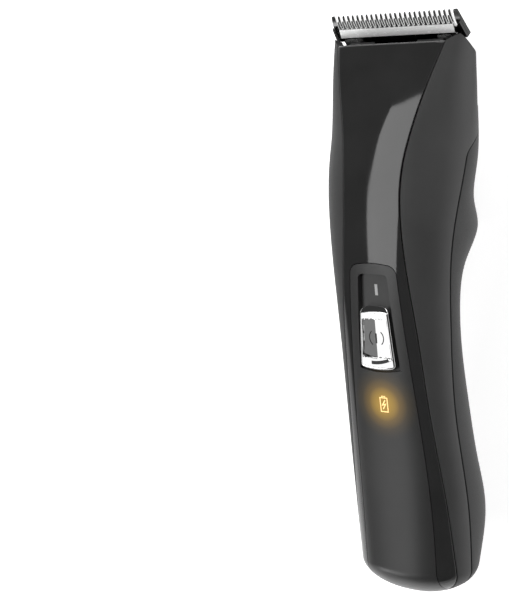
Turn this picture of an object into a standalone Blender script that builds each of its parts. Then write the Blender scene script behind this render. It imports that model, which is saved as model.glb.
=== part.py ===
"""Cordless hair clipper lying on its back: X across the body, Y along it with the
blade at +Y, Z up from the surface it lies on to the side that holds the switch.
All driving sizes below are in millimetres; the meshes are built in metres."""

import math

import bmesh
import bpy
import numpy as np
from mathutils import Matrix, Vector

MM = 0.001
SHARP_ANGLE = math.radians(35.0)

# ---- housing: lofted sections, named from the heel end to the blade end --------------
END_Y = -80.5             # outermost point of the rounded heel end
END_LENGTH = 8.3          # length over which the heel end rounds off
END_POWER = 1.97          # roundness of the heel end
HEAD_Y = 72.4             # where the front panel stops, under the blade
BACK_TOP_Y = 64.4         # where the back shell stops, under the blade head
FRONT_POWER = 2.4         # squareness of the front half of a section
HEAD_FRONT_POWER = 4.0    # the same at the blade end, where the front is flatter
BACK_POWER = 1.9          # squareness of the back half of a section
FLATTEN_START_Y = 45.0    # where the front starts to flatten towards the blade
WALL = 1.8                # wall of the front panel, wings and back shell
PANEL_DEPTH = 3.0         # thickness of the control panel
SEAM = 0.013              # half a seam, as a section angle in radians (about 0.2 mm)

# station: y, half width, front height, height of the widest line, half width of the front
HEEL_Y = END_Y + 6.7      # the heel station, just inside the rounded end
HEEL = (HEEL_Y, 17.3, 32.5, 21.7, 16.0)
LOW_GRIP = (-53.8, 17.9, 33.7, 23.5, 15.3)
MID_GRIP = (-27.8, 17.2, 36.7, 27.6, 13.4)
WAIST = (-1.8, 17.5, 39.7, 29.4, 11.8)
THUMB = (20.2, 18.9, 40.9, 29.7, 9.7)
NECK = (40.2, 20.7, 39.9, 25.3, 9.7)
SHOULDER = (58.2, 20.7, 35.4, 20.9, 13.4)
HEAD = (73.2, 21.2, 30.1, 20.3, 17.8)
STATIONS = (HEEL, LOW_GRIP, MID_GRIP, WAIST, THUMB, NECK, SHOULDER, HEAD)

# back line: y and height of the lowest point of the back, before the flats at Z = 0
BACK_LINE = (
    (HEEL_Y, 6.6), (-59.8, -0.9), (-43.8, 2.7), (-25.8, 6.9), (-9.8, 11.1), (4.2, 11.8),
    (13.2, 7.1), (21.2, -0.9), (30.2, 4.1), (40.2, 4.0), (54.2, 6.7), (73.2, 15.0),
)
HEEL_PAD_Y = -59.8        # the two flats the clipper rests on
HUMP_PAD_Y = 21.2

# seam between wing and back shell: along the widest line, then round to the back
SEAM_TURN_START = 42.0
SEAM_TURN_END = 52.0
WING_REACH = 17.0         # how near the middle the wings come behind the head
WING_TOP_Y = 74.6         # the wings rise past the front panel to small points
WING_TOP_X = 17.3         # where they start to rise
WING_TOP_SLOPE = 0.55
WING_CUT_ANGLE = math.radians(54.0)   # the slanted ends of the wings, behind the blade
WING_CUT_Z = 23.9         # height of that cut at HEAD_Y

# ---- catches for a guide comb, cut by a plane square to this direction below X --------
CATCH_ANGLE = math.radians(40.0)
CATCH_X = 17.66
CATCH_Z = 15.04
CATCH_LOW_Y = 55.0
CATCH_HIGH_Y = 61.0

# ---- control panel --------------------------------------------------------------------
PANEL_EDGE = ((END_Y - 3.5, 11.3), (-60.0, 11.5), (-35.0, 10.7), (-10.0, 9.1), (9.0, 7.7))
PANEL_CORNER = 3.0        # radius of the two top corners
PANEL_TOP_Y = 14.0        # top edge at the corners
PANEL_CROWN = 0.4         # how far the top edge bows out at the middle
PANEL_GAP = 0.2
RECESS_DEPTH = 1.5
RECESS_LOW_Y = -15.5
RECESS_HIGH_Y = 11.5

# ---- power slider ---------------------------------------------------------------------
SLIDER_LOW_Y = -14.9
SLIDER_HIGH_Y = 2.8
SLIDER_TOP_HALF = 4.5     # half width at the blade side
SLIDER_LOW_HALF = 5.7     # half width at the heel side
SLIDER_PROUD = 0.7        # how far it stands above the panel
SLIDER_TRAVEL = 8.0
SLIDER_EDGE = 0.4         # rounding of its edges
SLIDER_CLEAR = 0.35
STEM_Y = -11.0
STEM_HALF = 1.4
STEM_WIDE = 1.0

# ---- charge light ---------------------------------------------------------------------
LIGHT_Y = -24.4
LIGHT_X = 0.3
LIGHT_WIDE = 3.4
LIGHT_LONG = 5.4
LIGHT_GAP = 0.12

# ---- blade set: s runs from the tips down the blade, k from the skin side inwards -----
BLADE_ANGLE = math.radians(38.5)
TIP_Y = 80.5
TIP_Z = 27.3
BLADE_WIDE = 40.8         # across the tips
BLADE_FLARE = 0.1         # how much the comb's sides spread, per length down the blade
COMB_THICK = 1.2
COMB_TEETH = 24           # narrow teeth between the two wide end teeth
END_TOOTH = 1.3
TOOTH = 0.8
COMB_ROOT_S = 4.9
COMB_BASE_S = 8.0
RAIL_WIDE = 0.4           # raised sides of the comb, outside the cutter
RAIL_S = 3.0
RAIL_K = 2.0
TONGUE_HALF = 15.0
TONGUE_S = 17.0
CUTTER_SIDE = 1.8         # how far the cutter stops short of the comb's sides
CUTTER_HALF = BLADE_WIDE / 2.0 - CUTTER_SIDE
CUTTER_TOOTH = 0.66
CUTTER_TIP_S = 0.9
CUTTER_ROOT_S = 3.4
CUTTER_LOW_K = 1.35
CUTTER_BAND_K = 2.65
CUTTER_BAND_S = 5.8
CUTTER_REAR_K = 2.1
CUTTER_BASE_S = 8.4
BLADE_SCREW_X = 10.0
BLADE_SCREW_S = 13.8
SPRING_INNER = 13.0       # the two leaf springs that hold the cutter down
SPRING_OUTER = 17.2

# ---- blade head -----------------------------------------------------------------------
CARRIER_HALF = 15.1
HINGE_Y = 64.23
HINGE_Z = 17.55
HINGE_R = 0.8
HINGE_BORE = 0.88
KNUCKLE_R = 1.9
KNUCKLE_HALF = 10.0
EAR_INNER = 10.4
EAR_OUTER = 14.2
EAR_LOW_Z = 13.3
EAR_GAP = 0.35
WINDOW_HALF = 7.0

# ---- drive ----------------------------------------------------------------------------
MOTOR_Z = 23.0
MOTOR_R = 11.0
MOTOR_LOW_Y = 18.5
MOTOR_HIGH_Y = 48.6
SHAFT_R = 1.0
THROW = 0.9               # crank offset, half the cutter's stroke
CRANK_R = 0.9
FORK_GAP = 2.9            # half the fork's slot: crank throw, cutter travel and clearance
FORK_LEG = 1.4
FORK_LOW_Y = 60.0
FORK_SLOT_Y = 65.2        # bottom of the slot

# ---- electrics ------------------------------------------------------------------------
CELL_R = 7.0
CELL_LOW_Y = -65.5
CELL_HIGH_Y = -16.0
CELL_Z = 18.9
TRAY_Z = 26.15
TRAY_THICK = 1.2
BOARD_Z = 28.7
BOARD_THICK = 1.2
BOARD_HALF = 8.2
SOCKET_WIDE = 8.94
SOCKET_HIGH = 3.26
SOCKET_WALL = 0.3
SOCKET_DEEP = 7.3
CASE_SCREW_LOW_Y = -36.0
CASE_SCREW_HIGH_Y = 46.0
CASE_SCREW_LONG = 5.2
CASE_SCREW_GAP = 2.07     # between the upper case screw's tip and the motor
SOCKET_MOUTH_Y = END_Y + 0.5


def clear_scene():
    for item in list(bpy.data.objects):
        bpy.data.objects.remove(item, do_unlink=True)


def make_collection(name):
    group = bpy.data.collections.new(name)
    bpy.context.scene.collection.children.link(group)
    return group


def make_material(name, colour, roughness, metallic):
    material = bpy.data.materials.new(name)
    material.use_nodes = True
    shader = material.node_tree.nodes["Principled BSDF"]
    shader.inputs["Base Color"].default_value = (*colour, 1.0)
    shader.inputs["Roughness"].default_value = roughness
    shader.inputs["Metallic"].default_value = metallic
    return material


def file_object(item, look):
    """Put a finished object with the parts, or with the cutters when it has no material."""
    if look is None:
        CUTTERS.objects.link(item)
        item.hide_render = True
        item.display_type = "WIRE"
    else:
        PARTS.objects.link(item)
        item.data.materials.append(look)
    return item


def add_object(name, mesh_edit, look, origin=(0.0, 0.0, 0.0)):
    """Turn a bmesh given in millimetres about its origin into an object in metres."""
    bmesh.ops.scale(mesh_edit, vec=(MM, MM, MM), verts=mesh_edit.verts)
    bmesh.ops.recalc_face_normals(mesh_edit, faces=mesh_edit.faces)
    mesh = bpy.data.meshes.new(name)
    mesh_edit.to_mesh(mesh)
    mesh_edit.free()
    mesh.shade_smooth()
    mesh.set_sharp_from_angle(angle=SHARP_ANGLE)
    item = bpy.data.objects.new(name, mesh)
    item.location = Vector(origin) * MM
    return file_object(item, look)


def pivot(name, point, children):
    """An empty on a joint's axis that carries the pieces moving about it."""
    empty = bpy.data.objects.new(name, None)
    empty.location = Vector(point) * MM
    empty.empty_display_size = 5.0 * MM
    PARTS.objects.link(empty)
    for child in children:
        item = bpy.data.objects[child]
        item.parent = empty
        item.matrix_parent_inverse = Matrix.Translation(empty.location).inverted()


def cut(target, tool, operation="DIFFERENCE"):
    """Cut one solid with another."""
    modifier = target.modifiers.new(tool.name, "BOOLEAN")
    modifier.operation = operation
    modifier.solver = "EXACT"
    modifier.object = tool


# ---- smooth curves through the stations -----------------------------------------------
def natural_spline(xs, values):
    """A natural cubic through the points, as a function."""
    xs = np.array(xs, dtype=float)
    values = np.array(values, dtype=float)
    count = len(xs)
    step = np.diff(xs)
    matrix = np.eye(count)
    right = np.zeros(count)
    for i in range(1, count - 1):
        matrix[i, i - 1] = step[i - 1]
        matrix[i, i] = 2.0 * (step[i - 1] + step[i])
        matrix[i, i + 1] = step[i]
        slope_after = (values[i + 1] - values[i]) / step[i]
        slope_before = (values[i] - values[i - 1]) / step[i - 1]
        right[i] = 6.0 * (slope_after - slope_before)
    bend = np.linalg.solve(matrix, right)

    def curve(x):
        i = int(np.clip(np.searchsorted(xs, x) - 1, 0, count - 2))
        h = step[i]
        a = (xs[i + 1] - x) / h
        b = (x - xs[i]) / h
        cubic = (a**3 - a) * bend[i] + (b**3 - b) * bend[i + 1]
        return float(a * values[i] + b * values[i + 1] + cubic * h * h / 6.0)

    return curve


STATION_Y = [s[0] for s in STATIONS]
half_width = natural_spline(STATION_Y, [s[1] for s in STATIONS])
front_z = natural_spline(STATION_Y, [s[2] for s in STATIONS])
side_z = natural_spline(STATION_Y, [s[3] for s in STATIONS])
panel_half = natural_spline(STATION_Y, [s[4] for s in STATIONS])
back_z = natural_spline([p[0] for p in BACK_LINE], [p[1] for p in BACK_LINE])
panel_edge = natural_spline([p[0] for p in PANEL_EDGE], [p[1] for p in PANEL_EDGE])


def smooth_step(value):
    value = min(max(value, 0.0), 1.0)
    return value * value * (3.0 - 2.0 * value)


def front_power(y):
    blend = smooth_step((y - FLATTEN_START_Y) / (HEAD[0] - FLATTEN_START_Y))
    return FRONT_POWER + (HEAD_FRONT_POWER - FRONT_POWER) * blend


def end_scale(depth):
    """How much a section shrinks at a depth (0 to 1) inside the rounded heel end."""
    inside = 1.0 - min(max(depth, 0.0), 1.0)
    return (1.0 - inside**END_POWER) ** (1.0 / END_POWER)


def section_point(y, angle, inset):
    """A point of the housing's skin, or of its inner face when inset is a wall."""
    depth = min((y - END_Y) / END_LENGTH, 1.0)
    scale = end_scale(depth)
    y = y + inset * (1.0 - depth)
    wide = half_width(y) - inset
    side = side_z(y)
    c = math.cos(angle)
    s = math.sin(angle)
    if s >= 0.0:
        power = front_power(y)
        high = front_z(y) - inset - side
    else:
        power = BACK_POWER
        high = side - back_z(y) - inset
    x = wide * math.copysign(abs(c) ** (2.0 / power), c)
    z = side + high * math.copysign(abs(s) ** (2.0 / power), s)
    middle = (front_z(y) + back_z(y)) / 2.0
    z = middle + (z - middle) * scale
    return Vector((x * scale, y, max(z, inset)))


def front_angle(y):
    """Section angle of the seam between the front panel and a wing."""
    return math.acos((panel_half(y) / half_width(y)) ** (front_power(y) / 2.0))


def back_angle(y):
    """Section angle of the seam between a wing and the back shell."""
    turn = smooth_step((y - SEAM_TURN_START) / (SEAM_TURN_END - SEAM_TURN_START))
    return -math.acos((WING_REACH / half_width(y)) ** (BACK_POWER / 2.0)) * turn


def loft_wall(name, stations, low, high, steps, wall, look):
    """A closed wall of the housing between two seam angles."""
    mesh = bmesh.new()
    outer = []
    inner = []
    for y in stations:
        angles = [low(y) + (high(y) - low(y)) * k / steps for k in range(steps + 1)]
        outer.append([mesh.verts.new(section_point(y, a, 0.0)) for a in angles])
        inner.append([mesh.verts.new(section_point(y, a, wall)) for a in angles])
    last = len(stations) - 1
    for i in range(last):
        for k in range(steps):
            for grid in (outer, inner):
                mesh.faces.new((grid[i][k], grid[i][k + 1], grid[i + 1][k + 1], grid[i + 1][k]))
        for k in (0, steps):
            mesh.faces.new((outer[i][k], outer[i + 1][k], inner[i + 1][k], inner[i][k]))
    for i in (0, last):
        for k in range(steps):
            mesh.faces.new((outer[i][k], inner[i][k], inner[i][k + 1], outer[i][k + 1]))
    return add_object(name, mesh, look)


def body_stations(top):
    """Loft stations: close together round the heel end and over the finger rest."""
    ys = [END_Y + END_LENGTH * d for d in (0.012, 0.06, 0.14, 0.28, 0.48, 0.72, 1.0)]
    ys += [HEEL_Y + 5.8, HEEL_Y + 9.8, HEEL_PAD_Y - 2.0, HEEL_PAD_Y + 2.0, -54.0, -46.0, -36.0, -25.0]
    ys += [-14.0, -5.0, 2.0, 7.0, 11.0, 14.5, 17.5, 20.0, 22.4, 25.0, 28.0, 33.0, 39.0]
    ys += [43.0, 46.0, 49.0, 52.0, 58.0, BACK_TOP_Y, top]
    return sorted({round(y, 4) for y in ys if y <= top})


# ---- simple solids --------------------------------------------------------------------
def box(name, low, high, look):
    mesh = bmesh.new()
    bmesh.ops.create_cube(mesh, size=1.0)
    size = [high[k] - low[k] for k in range(3)]
    centre = [(high[k] + low[k]) / 2.0 for k in range(3)]
    bmesh.ops.scale(mesh, vec=size, verts=mesh.verts)
    return add_object(name, mesh, look, centre)


def cylinder(name, start, end, radius, sides, look):
    start = Vector(start)
    end = Vector(end)
    mesh = bmesh.new()
    bmesh.ops.create_cone(
        mesh, cap_ends=True, segments=sides, radius1=radius, radius2=radius,
        depth=(end - start).length,
    )
    item = add_object(name, mesh, look, (start + end) / 2.0)
    item.rotation_euler = (end - start).to_track_quat("Z", "Y").to_euler()
    return item


def turned(name, start, axis, profile, sides, look):
    """A solid of revolution: profile lists (distance along the axis, radius) from the start."""
    mesh = bpy.data.meshes.new(name)
    line = [(0.0, profile[-1][0])] + [(r, a) for a, r in reversed(profile)] + [(0.0, profile[0][0])]
    points = [(r * MM, 0.0, a * MM) for r, a in line]
    mesh.from_pydata(points, [(k, k + 1) for k in range(len(points) - 1)], [])
    item = bpy.data.objects.new(name, mesh)
    item.location = Vector(start) * MM
    item.rotation_euler = Vector(axis).to_track_quat("Z", "Y").to_euler()
    screw = item.modifiers.new("turn", "SCREW")
    screw.axis = "Z"
    screw.angle = 2.0 * math.pi
    screw.steps = sides
    screw.render_steps = sides
    screw.use_merge_vertices = True
    screw.merge_threshold = 0.00001
    screw.use_smooth_shade = False
    return file_object(item, look)


def prism(name, outline, low, high, place, look):
    """An outline given as pairs, extruded from low to high; place maps (a, b, c) to a point."""
    mesh = bmesh.new()
    bottom = [mesh.verts.new(place(a, b, low)) for a, b in outline]
    face = mesh.faces.new(bottom)
    made = bmesh.ops.extrude_face_region(mesh, geom=[face])["geom"]
    moved = [v for v in made if isinstance(v, bmesh.types.BMVert)]
    shift = place(0.0, 0.0, high) - place(0.0, 0.0, low)
    bmesh.ops.translate(mesh, vec=shift, verts=moved)
    return add_object(name, mesh, look)


def plan(a, b, c):
    """Outline in X and Y, extruded along Z."""
    return Vector((a, b, c))


def profile_yz(a, b, c):
    """Outline in Y and Z, extruded along X."""
    return Vector((c, a, b))


def blade_point(x, s, k):
    """A point in the blade set: s from the tips, k inwards from the skin plane."""
    y = TIP_Y - s * math.cos(BLADE_ANGLE) - k * math.sin(BLADE_ANGLE)
    z = TIP_Z - s * math.sin(BLADE_ANGLE) + k * math.cos(BLADE_ANGLE)
    return Vector((x, y, z))


def blade_profile(a, b, c):
    """Outline in s and k, extruded along X."""
    return blade_point(c, a, b)


# ---- housing --------------------------------------------------------------------------
def panel_outline(grow):
    """Outline of the control panel from the heel up one side and down the other."""
    side = []
    for y in (-90.0, -78.0, -66.0, -54.0, -42.0, -30.0, -18.0, -6.0, 3.0):
        side.append((panel_edge(y) + grow, y))
    corner_x = panel_edge(PANEL_TOP_Y - PANEL_CORNER) - PANEL_CORNER
    for k in range(6):
        a = math.radians(15.0 * k)
        reach = PANEL_CORNER + grow
        x = corner_x + reach * math.cos(a)
        y = PANEL_TOP_Y - PANEL_CORNER + reach * math.sin(a)
        side.append((x, y))
    middle = [(corner_x * 0.6, PANEL_TOP_Y + PANEL_CROWN * 0.7 + grow)]
    right = side + middle
    left = [(-x, y) for x, y in reversed(right)]
    return right + [(0.0, PANEL_TOP_Y + PANEL_CROWN + grow)] + left


def wing_end():
    """Everything behind the slanted ends of the wings."""
    c = math.cos(WING_CUT_ANGLE)
    s = math.sin(WING_CUT_ANGLE)
    corners = ((-30.0, 0.0), (20.0, 0.0), (20.0, 30.0), (-30.0, 30.0))
    outline = [(HEAD_Y + a * c + b * s, WING_CUT_Z + a * s - b * c) for a, b in corners]
    return prism("wing_end", outline, -40.0, 40.0, profile_yz, None)


def wing_top(sign):
    """Everything above a wing's top edge, which rises from the front panel outwards."""
    rise = (26.0 - WING_TOP_X) * WING_TOP_SLOPE
    outline = (
        (5.0, HEAD_Y), (WING_TOP_X, HEAD_Y), (26.0, HEAD_Y + rise), (26.0, 90.0), (5.0, 90.0),
    )
    name = "wing_top_right" if sign > 0.0 else "wing_top_left"
    return prism(name, [(sign * x, y) for x, y in outline], 0.0, 50.0, plan, None)


def build_housing():
    ys = body_stations(HEAD_Y)
    front = loft_wall(
        "front_shell", ys,
        lambda y: front_angle(y) + SEAM,
        lambda y: math.pi - front_angle(y) - SEAM,
        10, WALL, GLOSS_BLACK,
    )
    opening = prism("panel_opening", panel_outline(PANEL_GAP), 20.0, 50.0, plan, None)
    cut(front, opening)
    for name, sign in (("wing_right", 1.0), ("wing_left", -1.0)):
        wing = loft_wall(
            name, body_stations(WING_TOP_Y),
            (lambda y: back_angle(y) + SEAM) if sign > 0 else
            (lambda y: math.pi - back_angle(y) - SEAM),
            (lambda y: front_angle(y) - SEAM) if sign > 0 else
            (lambda y: math.pi - front_angle(y) + SEAM),
            7, WALL, MATT_GREY,
        )
        cut(wing, WING_END)
        cut(wing, wing_top(sign))
    back = loft_wall(
        "back_shell", body_stations(BACK_TOP_Y),
        lambda y: -math.pi - back_angle(y) + SEAM,
        lambda y: back_angle(y) - SEAM,
        14, WALL, MATT_BLACK,
    )
    return back


def build_panel():
    panel = loft_wall(
        "control_panel", body_stations(HEAD_Y)[:-8],
        lambda y: front_angle(y) + SEAM,
        lambda y: math.pi - front_angle(y) - SEAM,
        10, PANEL_DEPTH, SATIN_GREY,
    )
    cut(panel, prism("panel_outline", panel_outline(0.0), 20.0, 50.0, plan, None), "INTERSECT")
    cut(panel, recess_tool())
    slot_low = STEM_Y - STEM_HALF - SLIDER_CLEAR
    slot_high = STEM_Y + STEM_HALF + SLIDER_TRAVEL + SLIDER_CLEAR
    half = STEM_WIDE + SLIDER_CLEAR
    cut(panel, box("stem_slot", (-half, slot_low, 30.0), (half, slot_high, 44.0), None))
    reach = LIGHT_WIDE / 2.0 + LIGHT_GAP
    low = LIGHT_Y - LIGHT_LONG / 2.0 - LIGHT_GAP
    high = LIGHT_Y + LIGHT_LONG / 2.0 + LIGHT_GAP
    cut(panel, box("light_hole", (LIGHT_X - reach, low, 25.0), (LIGHT_X + reach, high, 44.0), None))


def slide_slope():
    """Slope of the panel's middle line along the switch's track."""
    rise = front_z(RECESS_HIGH_Y) - front_z(RECESS_LOW_Y)
    return rise / (RECESS_HIGH_Y - RECESS_LOW_Y)


def track_z(y):
    """Height of the straight line the slider runs along, at the panel's surface."""
    return front_z(RECESS_LOW_Y) + slide_slope() * (y - RECESS_LOW_Y)


def slider_half(y):
    blend = (SLIDER_HIGH_Y - y) / (SLIDER_HIGH_Y - SLIDER_LOW_Y)
    return SLIDER_TOP_HALF + (SLIDER_LOW_HALF - SLIDER_TOP_HALF) * blend


def slanted_block(name, low_y, high_y, half, below, above, look):
    """A block that follows the track: half gives its half width at a y."""
    mesh = bmesh.new()
    rows = []
    for y in (low_y, high_y):
        wide = half(y)
        z = track_z(y)
        row = [(-wide, z + below), (wide, z + below), (wide, z + above), (-wide, z + above)]
        rows.append([mesh.verts.new((x, y, z)) for x, z in row])
    for k in range(4):
        n = (k + 1) % 4
        mesh.faces.new((rows[0][k], rows[0][n], rows[1][n], rows[1][k]))
    mesh.faces.new(rows[0])
    mesh.faces.new(rows[1])
    return add_object(name, mesh, look)


def recess_tool():
    def half(y):
        return slider_half(y - SLIDER_TRAVEL) + SLIDER_CLEAR
    return slanted_block(
        "switch_recess", RECESS_LOW_Y, RECESS_HIGH_Y, half, -RECESS_DEPTH, 6.0, None
    )


def build_slider():
    lift = SLIDER_CLEAR / 2.0 - RECESS_DEPTH
    slider = slanted_block(
        "switch_slider", SLIDER_LOW_Y, SLIDER_HIGH_Y, slider_half, lift, SLIDER_PROUD, CHROME
    )
    edge = slider.modifiers.new("edge", "BEVEL")
    edge.width = SLIDER_EDGE * MM
    edge.segments = 2
    edge.limit_method = "ANGLE"
    bottom = track_z(STEM_Y) - RECESS_DEPTH - 0.2
    box(
        "switch_stem",
        (-STEM_WIDE, STEM_Y - STEM_HALF, BOARD_Z + BOARD_THICK + 2.0),
        (STEM_WIDE, STEM_Y + STEM_HALF, bottom),
        MATT_BLACK,
    )


def build_light():
    z = front_z(LIGHT_Y)
    half = LIGHT_WIDE / 2.0
    low = LIGHT_Y - LIGHT_LONG / 2.0
    high = LIGHT_Y + LIGHT_LONG / 2.0
    box(
        "light_window",
        (LIGHT_X - half, low, z - PANEL_DEPTH),
        (LIGHT_X + half, high, z - 0.3),
        AMBER,
    )
    top = BOARD_Z + BOARD_THICK + 0.1
    box(
        "light_chip", (LIGHT_X - 0.8, LIGHT_Y - 0.6, top),
        (LIGHT_X + 0.8, LIGHT_Y + 0.6, top + 0.8), AMBER,
    )


# ---- blade set ------------------------------------------------------------------------
def tooth_edges(half, teeth, pitch, width, end_width):
    """X positions across the comb and whether each stretch between them is a tooth."""
    edges = [-half]
    solid = []
    if end_width:
        edges.append(-half + end_width)
        solid.append(True)
    for k in range(teeth):
        middle = (k - (teeth - 1) / 2.0) * pitch
        edges += [middle - width / 2.0, middle + width / 2.0]
        solid += [False, True]
    if end_width:
        edges.append(half - end_width)
        solid.append(False)
    edges.append(half)
    solid.append(bool(end_width))
    return edges, solid


def comb_solid(name, edges, solid, tip, rows, tongue, flare, look):
    """A toothed plate. tip is (s, low k, high k, narrowing); rows lists (s, low k, high k)
    from the tooth roots down; tongue is (half width, s) or None; flare spreads the sides."""
    mesh = bmesh.new()

    def pair(x, s, low, high):
        return mesh.verts.new(blade_point(x, s, low)), mesh.verts.new(blade_point(x, s, high))

    def spread(x, s):
        return x * (1.0 + flare * s / edges[-1]) if abs(x) == edges[-1] else x

    grid = [[pair(spread(x, s), s, low, high) for x in edges] for s, low, high in rows]
    last = len(rows) - 1
    count = len(edges)

    def skin(a, b, c, d):
        mesh.faces.new((a[0], b[0], c[0], d[0]))
        mesh.faces.new((a[1], b[1], c[1], d[1]))

    def wall(a, b):
        mesh.faces.new((a[0], b[0], b[1], a[1]))

    for i in range(last):
        for k in range(count - 1):
            skin(grid[i][k], grid[i][k + 1], grid[i + 1][k + 1], grid[i + 1][k])
        wall(grid[i][0], grid[i + 1][0])
        wall(grid[i][count - 1], grid[i + 1][count - 1])
    tip_s, tip_low, tip_high, narrow = tip
    for k in range(count - 1):
        if not solid[k]:
            wall(grid[0][k], grid[0][k + 1])
            continue
        a = pair(edges[k] + narrow, tip_s, tip_low, tip_high)
        b = pair(edges[k + 1] - narrow, tip_s, tip_low, tip_high)
        skin(grid[0][k], grid[0][k + 1], b, a)
        wall(grid[0][k], a)
        wall(grid[0][k + 1], b)
        wall(a, b)
    inside = []
    if tongue:
        inside = [k for k in range(count - 1) if max(abs(edges[k]), abs(edges[k + 1])) <= tongue[0]]
    for k in range(count - 1):
        if k not in inside:
            wall(grid[last][k], grid[last][k + 1])
    if inside:
        span = edges[inside[0]:inside[-1] + 2]
        base = [pair(x, tongue[1], rows[last][1], rows[last][2]) for x in span]
        for j, k in enumerate(inside):
            skin(grid[last][k], grid[last][k + 1], base[j + 1], base[j])
            wall(base[j], base[j + 1])
        wall(grid[last][inside[0]], base[0])
        wall(grid[last][inside[-1] + 1], base[-1])
    return add_object(name, mesh, look)


def build_blades():
    gap = (BLADE_WIDE - 2.0 * END_TOOTH - COMB_TEETH * TOOTH) / (COMB_TEETH + 1)
    pitch = TOOTH + gap
    edges, solid = tooth_edges(BLADE_WIDE / 2.0, COMB_TEETH, pitch, TOOTH, END_TOOTH)
    comb = comb_solid(
        "comb_blade", edges, solid, (0.0, 0.0, 0.3, 0.24),
        ((COMB_ROOT_S, 0.0, COMB_THICK), (COMB_BASE_S, 0.0, COMB_THICK)),
        (TONGUE_HALF, TONGUE_S), BLADE_FLARE, STEEL,
    )
    inner = BLADE_WIDE / 2.0 - RAIL_WIDE
    for side, sign in (("right", 1.0), ("left", -1.0)):
        outer = [BLADE_WIDE / 2.0 + BLADE_FLARE * s - 0.05 for s in (RAIL_S, COMB_BASE_S)]
        outline = (
            (sign * inner, RAIL_S), (sign * outer[0], RAIL_S),
            (sign * outer[1], COMB_BASE_S), (sign * inner, COMB_BASE_S),
        )
        cut(comb, prism("rail_" + side, outline, 0.6, RAIL_K, blade_point, None), "UNION")
    edges, solid = tooth_edges(CUTTER_HALF, COMB_TEETH, pitch, CUTTER_TOOTH, 0.0)
    comb_solid(
        "cutter_blade", edges, solid, (CUTTER_TIP_S, CUTTER_LOW_K, CUTTER_LOW_K + 0.2, 0.16),
        (
            (CUTTER_ROOT_S, CUTTER_LOW_K, CUTTER_LOW_K + 0.6),
            (CUTTER_BAND_S, CUTTER_LOW_K, CUTTER_BAND_K),
            (CUTTER_BAND_S + 0.2, CUTTER_LOW_K, CUTTER_REAR_K),
            (CUTTER_BASE_S, CUTTER_LOW_K, CUTTER_REAR_K),
        ),
        None, 0.0, STEEL,
    )
    inward = (blade_point(0.0, 0.0, 1.0) - blade_point(0.0, 0.0, 0.0)).normalized()
    for name, sign in (("blade_screw_right", 1.0), ("blade_screw_left", -1.0)):
        x = sign * BLADE_SCREW_X
        start = blade_point(x, BLADE_SCREW_S, 0.1)
        turned(
            name, start, inward,
            ((0.0, 1.7), (0.25, 1.95), (0.95, 1.95), (0.95, 1.0), (4.6, 1.0)), 20, DARK_STEEL,
        )
        hole = cylinder(
            name + "_hole", blade_point(x, BLADE_SCREW_S, -1.0),
            blade_point(x, BLADE_SCREW_S, 2.0), 2.1, 20, None,
        )
        cut(comb, hole)


def build_head():
    outline = (
        (9.1, 1.35), (9.1, 3.8), (6.6, 3.8), (6.6, 5.4), (9.4, 7.6),
        (14.6, 7.6), (18.7, 4.2), (18.7, 1.35),
    )
    carrier = prism("head_carrier", outline, -CARRIER_HALF, CARRIER_HALF, blade_profile, MATT_BLACK)
    window = box("drive_window", (-WINDOW_HALF, 40.0, 18.6), (WINDOW_HALF, 80.0, 40.0), None)
    cut(carrier, window)
    for sign in (1.0, -1.0):
        x = sign * BLADE_SCREW_X
        side = "right" if sign > 0 else "left"
        hole = cylinder(
            "screw_bore_" + side, blade_point(x, BLADE_SCREW_S, 0.0),
            blade_point(x, BLADE_SCREW_S, 5.4), 1.1, 20, None,
        )
        cut(carrier, hole)
    knuckle = cylinder(
        "hinge_knuckle", (-KNUCKLE_HALF, HINGE_Y, HINGE_Z), (KNUCKLE_HALF, HINGE_Y, HINGE_Z),
        KNUCKLE_R, 20, None,
    )
    for side, sign in (("right", 1.0), ("left", -1.0)):
        reach = sorted((sign * (EAR_INNER - EAR_GAP), sign * (EAR_OUTER + EAR_GAP)))
        low = (reach[0], HINGE_Y - 8.0, HINGE_Z - 8.0)
        high = (reach[1], HINGE_Y + KNUCKLE_R + EAR_GAP, HINGE_Z + KNUCKLE_R + EAR_GAP)
        cut(carrier, box("ear_notch_" + side, low, high, None))
    cut(carrier, knuckle, "UNION")
    bore = cylinder(
        "hinge_bore", (-30.0, HINGE_Y, HINGE_Z), (30.0, HINGE_Y, HINGE_Z), HINGE_BORE, 20, None
    )
    cut(carrier, bore)
    cylinder(
        "hinge_pin", (-14.6, HINGE_Y, HINGE_Z), (14.6, HINGE_Y, HINGE_Z), HINGE_R, 20, DARK_STEEL
    )
    return carrier


def build_springs():
    """Two leaf springs under the carrier's lip, each pressing one side of the cutter."""
    outline = ((8.9, 3.3), (8.9, 3.5), (7.6, 3.5), (6.1, 3.05), (6.1, 2.85), (7.6, 3.3))
    for side, low, high in (
        ("right", SPRING_INNER, SPRING_OUTER), ("left", -SPRING_OUTER, -SPRING_INNER),
    ):
        prism("cutter_spring_" + side, outline, low, high, blade_profile, STEEL)


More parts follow.
